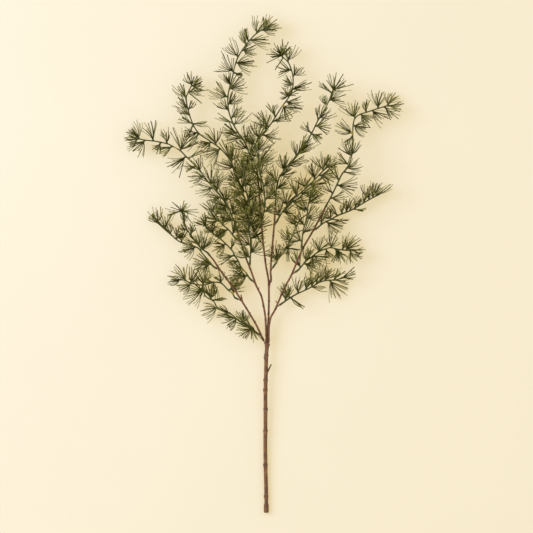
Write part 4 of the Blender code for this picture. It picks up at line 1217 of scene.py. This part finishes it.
def make_needle_tree():
    """The whole tree: stem in, stem with buds and needles out."""
    number = "NodeSocketFloat"
    bench, given, out = group_tree(
        "needle tufts", "GeometryNodeTree",
        [("Geometry", "NodeSocketGeometry", None), ("Shortest", number, 20 * MM),
         ("Longest", number, 35.5 * MM), ("Girth", number, 27 * MM), ("Width", number, 0.062),
         ("Thickness", number, 0.038), ("Bud Length", number, 3.8 * MM),
         ("Table Margin", number, 2.5 * MM), ("Seed", "NodeSocketInt", 1),
         ("Needle Finish", "NodeSocketMaterial", None), ("Stem Finish", "NodeSocketMaterial", None)],
        [("Geometry", "NodeSocketGeometry")])
    bench.tree.is_modifier = True
    parted = bench.add("GeometryNodeSeparateGeometry", {
        "Geometry": given["Geometry"], "Selection": named(bench, "is_tuft", "BOOLEAN")}, domain="POINT")
    tufts = parted.outputs["Selection"]
    push = bench.scaled(named(bench, "axis", "FLOAT_VECTOR"),
                        bench.maths("MULTIPLY", given["Bud Length"], 0.7))
    crowns = bench.out("GeometryNodeSetPosition", {"Geometry": tufts, "Offset": push})
    needles = lay_on_table(bench, grow_needles(bench, given, crowns), given["Needle Finish"])
    stems = join(bench, [parted.outputs["Inverted"], grow_buds(bench, given, tufts)])
    stems = lay_on_table(bench, stems, given["Stem Finish"])
    bench.tree.links.new(join(bench, [needles, stems]), out["Geometry"])
    return bench.tree


NEEDLE_TREE = make_needle_tree()
print("nodes in the needle tree:", len(NEEDLE_TREE.nodes))


# %% [markdown]
# ## Growing the sprigs
# Each sprig's carrier is its stem with the tuft points added as loose points. The modifier's inputs
# are set by their identifiers before the object is evaluated, and the evaluated result becomes a
# plain mesh, because instances and live trees are lost on export.

# %% Build every sprig
TUFT_MARKS = {"axis": "FLOAT_VECTOR", "normal": "FLOAT_VECTOR", "opening": "FLOAT", "depth": "FLOAT",
              "rise": "FLOAT", "curl": "FLOAT", "sweep": "FLOAT", "size": "FLOAT", "count": "INT"}
FIRST_DRAW = 100


def carrier_of(name, skin, tufts):
    """The stem's mesh with a loose point for every tuft."""
    first = len(skin.places)
    for tuft in tufts:
        skin.places.append(tuft["place"])
        skin.marks["grain"].append((0.0, 0.0, 0.0))
        skin.marks["ochre"].append(ochre_at(tuft["place"]))
        skin.marks["scar"].append(0.0)
    mesh = skin.mesh(name)
    total = len(skin.places)
    mark_points(mesh, "is_tuft", "BOOLEAN", np.arange(total) >= first)
    for label, kind in TUFT_MARKS.items():
        shape = (total, 3) if kind == "FLOAT_VECTOR" else total
        values = np.zeros(shape, np.int32 if kind == "INT" else np.float32)
        values[first:] = [tuft[label] for tuft in tufts]
        mark_points(mesh, label, kind, values)
    return mesh


def set_input(modifier, label, value):
    """Set a tree's input by its socket's identifier."""
    items = modifier.node_group.interface.items_tree
    socket = next(item for item in items if item.name == label and item.in_out == "INPUT")
    modifier[socket.identifier] = value


def grow_sprig(name, number):
    """Plan, grow and place one sprig. Returns how many needles and triangles it has."""
    rng = random.Random(FIRST_DRAW + number)
    tufts = plan_tufts(name, rng)
    mesh = carrier_of(name + "_carrier", make_sprig_stem(name, tufts), tufts)
    carrier = show(name + "_carrier", mesh)
    grower = carrier.modifiers.new("needles", "NODES")
    grower.node_group = NEEDLE_TREE
    set_input(grower, "Seed", 40 * number + 7)
    set_input(grower, "Needle Finish", NEEDLE_GREEN)
    set_input(grower, "Stem Finish", SPRIG_GREEN)
    evaluated = carrier.evaluated_get(bpy.context.evaluated_depsgraph_get())
    grown = bpy.data.meshes.new_from_object(evaluated)
    grown.name = name + "_leafy"
    for label in ("is_tuft", *TUFT_MARKS):
        if label in grown.attributes:
            grown.attributes.remove(grown.attributes[label])
    piece = show(name + "_leafy", grown)
    bpy.data.objects.remove(carrier)
    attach(piece, "root")
    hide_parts(name)
    return sum(tuft["count"] for tuft in tufts), sum(len(p.vertices) - 2 for p in grown.polygons)


needle_total = 0
face_total = 0
for number, sprig_name in enumerate(SPRIGS):
    needles, triangles = grow_sprig(sprig_name, number)
    needle_total += needles
    face_total += triangles
print("needles:", needle_total, "triangles in the sprigs:", face_total)


# %% [markdown]
# ## Table, light and camera
# The photograph was taken straight down onto a cream surface, with one broad soft light from the
# left and plenty of light all round. A long lens keeps the spray's plan true: with 300 mm on a
# 36 mm sensor, a needle 60 mm above the table shifts by less than a pixel.

# %% Pale table
TABLE_HALF = 12.0
# Painted light: the table glows a little, so the spray's shadows on it stay faint and warm.
TABLE_GLOW = (1.0, 0.71, 0.175, 1.0)
TABLE_VALUES = {"Emission Color": TABLE_GLOW, "Emission Strength": 0.522, "Roughness": 0.9,
                "Specular IOR Level": 0.1}


def make_table():
    mesh = bpy.data.meshes.new("table")
    corners = [(x * TABLE_HALF, y * TABLE_HALF, 0) for x, y in ((-1, -1), (1, -1), (1, 1), (-1, 1))]
    mesh.from_pydata(corners, [], [(0, 1, 2, 3)])
    table = show("table", mesh)
    material = bpy.data.materials.new("table_cream")
    material.use_nodes = True
    bench = Bench(material.node_tree)
    shader = material.node_tree.nodes["Principled BSDF"]
    place = bench.add("ShaderNodeTexCoord").outputs["Object"]
    fibre = bench.out("ShaderNodeTexNoise", {"Vector": place, "Scale": 3.0, "Detail": 2.0})
    cream = ramp(bench, fibre, [(0.3, 0.403, 0.457, 0.57), (0.7, 0.418, 0.472, 0.585)])
    bench.tree.links.new(cream, shader.inputs["Base Color"])
    for label, value in TABLE_VALUES.items():
        shader.inputs[label].default_value = value
    mesh.materials.append(material)


# %% Studio light
WINDOW_PLACE = (-2.6, 0.9, 1.9)
WINDOW_TARGET = (0, 0.1, 0)
WINDOW_SIZE = 2.1
WINDOW_ENERGY = 66.0
WINDOW_COLOUR = (0.84, 0.9, 0.96)
ROOM_COLOUR = (1.0, 0.96, 0.84, 1.0)
ROOM_STRENGTH = 0.84


def make_window():
    light = bpy.data.lights.new("window", "AREA")
    light.shape = "SQUARE"
    light.size = WINDOW_SIZE
    light.energy = WINDOW_ENERGY
    light.color = WINDOW_COLOUR
    lamp = show("window", light)
    lamp.location = WINDOW_PLACE
    lamp.rotation_mode = "QUATERNION"
    aim = Vector(WINDOW_TARGET) - Vector(WINDOW_PLACE)
    lamp.rotation_quaternion = aim.to_track_quat("-Z", "Y")


def make_room():
    """Even light from all round, as pale walls give it."""
    room = bpy.data.worlds.new("studio")
    room.use_nodes = True
    sky = room.node_tree.nodes["Background"]
    sky.inputs["Color"].default_value = ROOM_COLOUR
    sky.inputs["Strength"].default_value = ROOM_STRENGTH
    bpy.context.scene.world = room


# %% Camera, straight above
IMAGE_PIXELS = 533
CAMERA_LENS = 300.0
SENSOR = 36.0
FOCUS_HEIGHT = 30 * MM


def make_camera():
    camera = bpy.data.cameras.new("above")
    camera.lens = CAMERA_LENS
    camera.sensor_width = SENSOR
    camera.clip_end = 100.0
    stand = show("above", camera)
    seen = IMAGE_PIXELS * STEP
    away = seen / 2 / (SENSOR / 2 / CAMERA_LENS)
    middle = to_metres(IMAGE_PIXELS / 2, IMAGE_PIXELS / 2, 0)
    stand.location = (middle[0], middle[1], FOCUS_HEIGHT + away)
    bpy.context.scene.camera = stand
    print("camera height:", round(stand.location[2], 2), "seen width:", round(seen, 4))


make_table()
make_room()
make_window()
make_camera()
bpy.context.scene.view_settings.view_transform = "Standard"
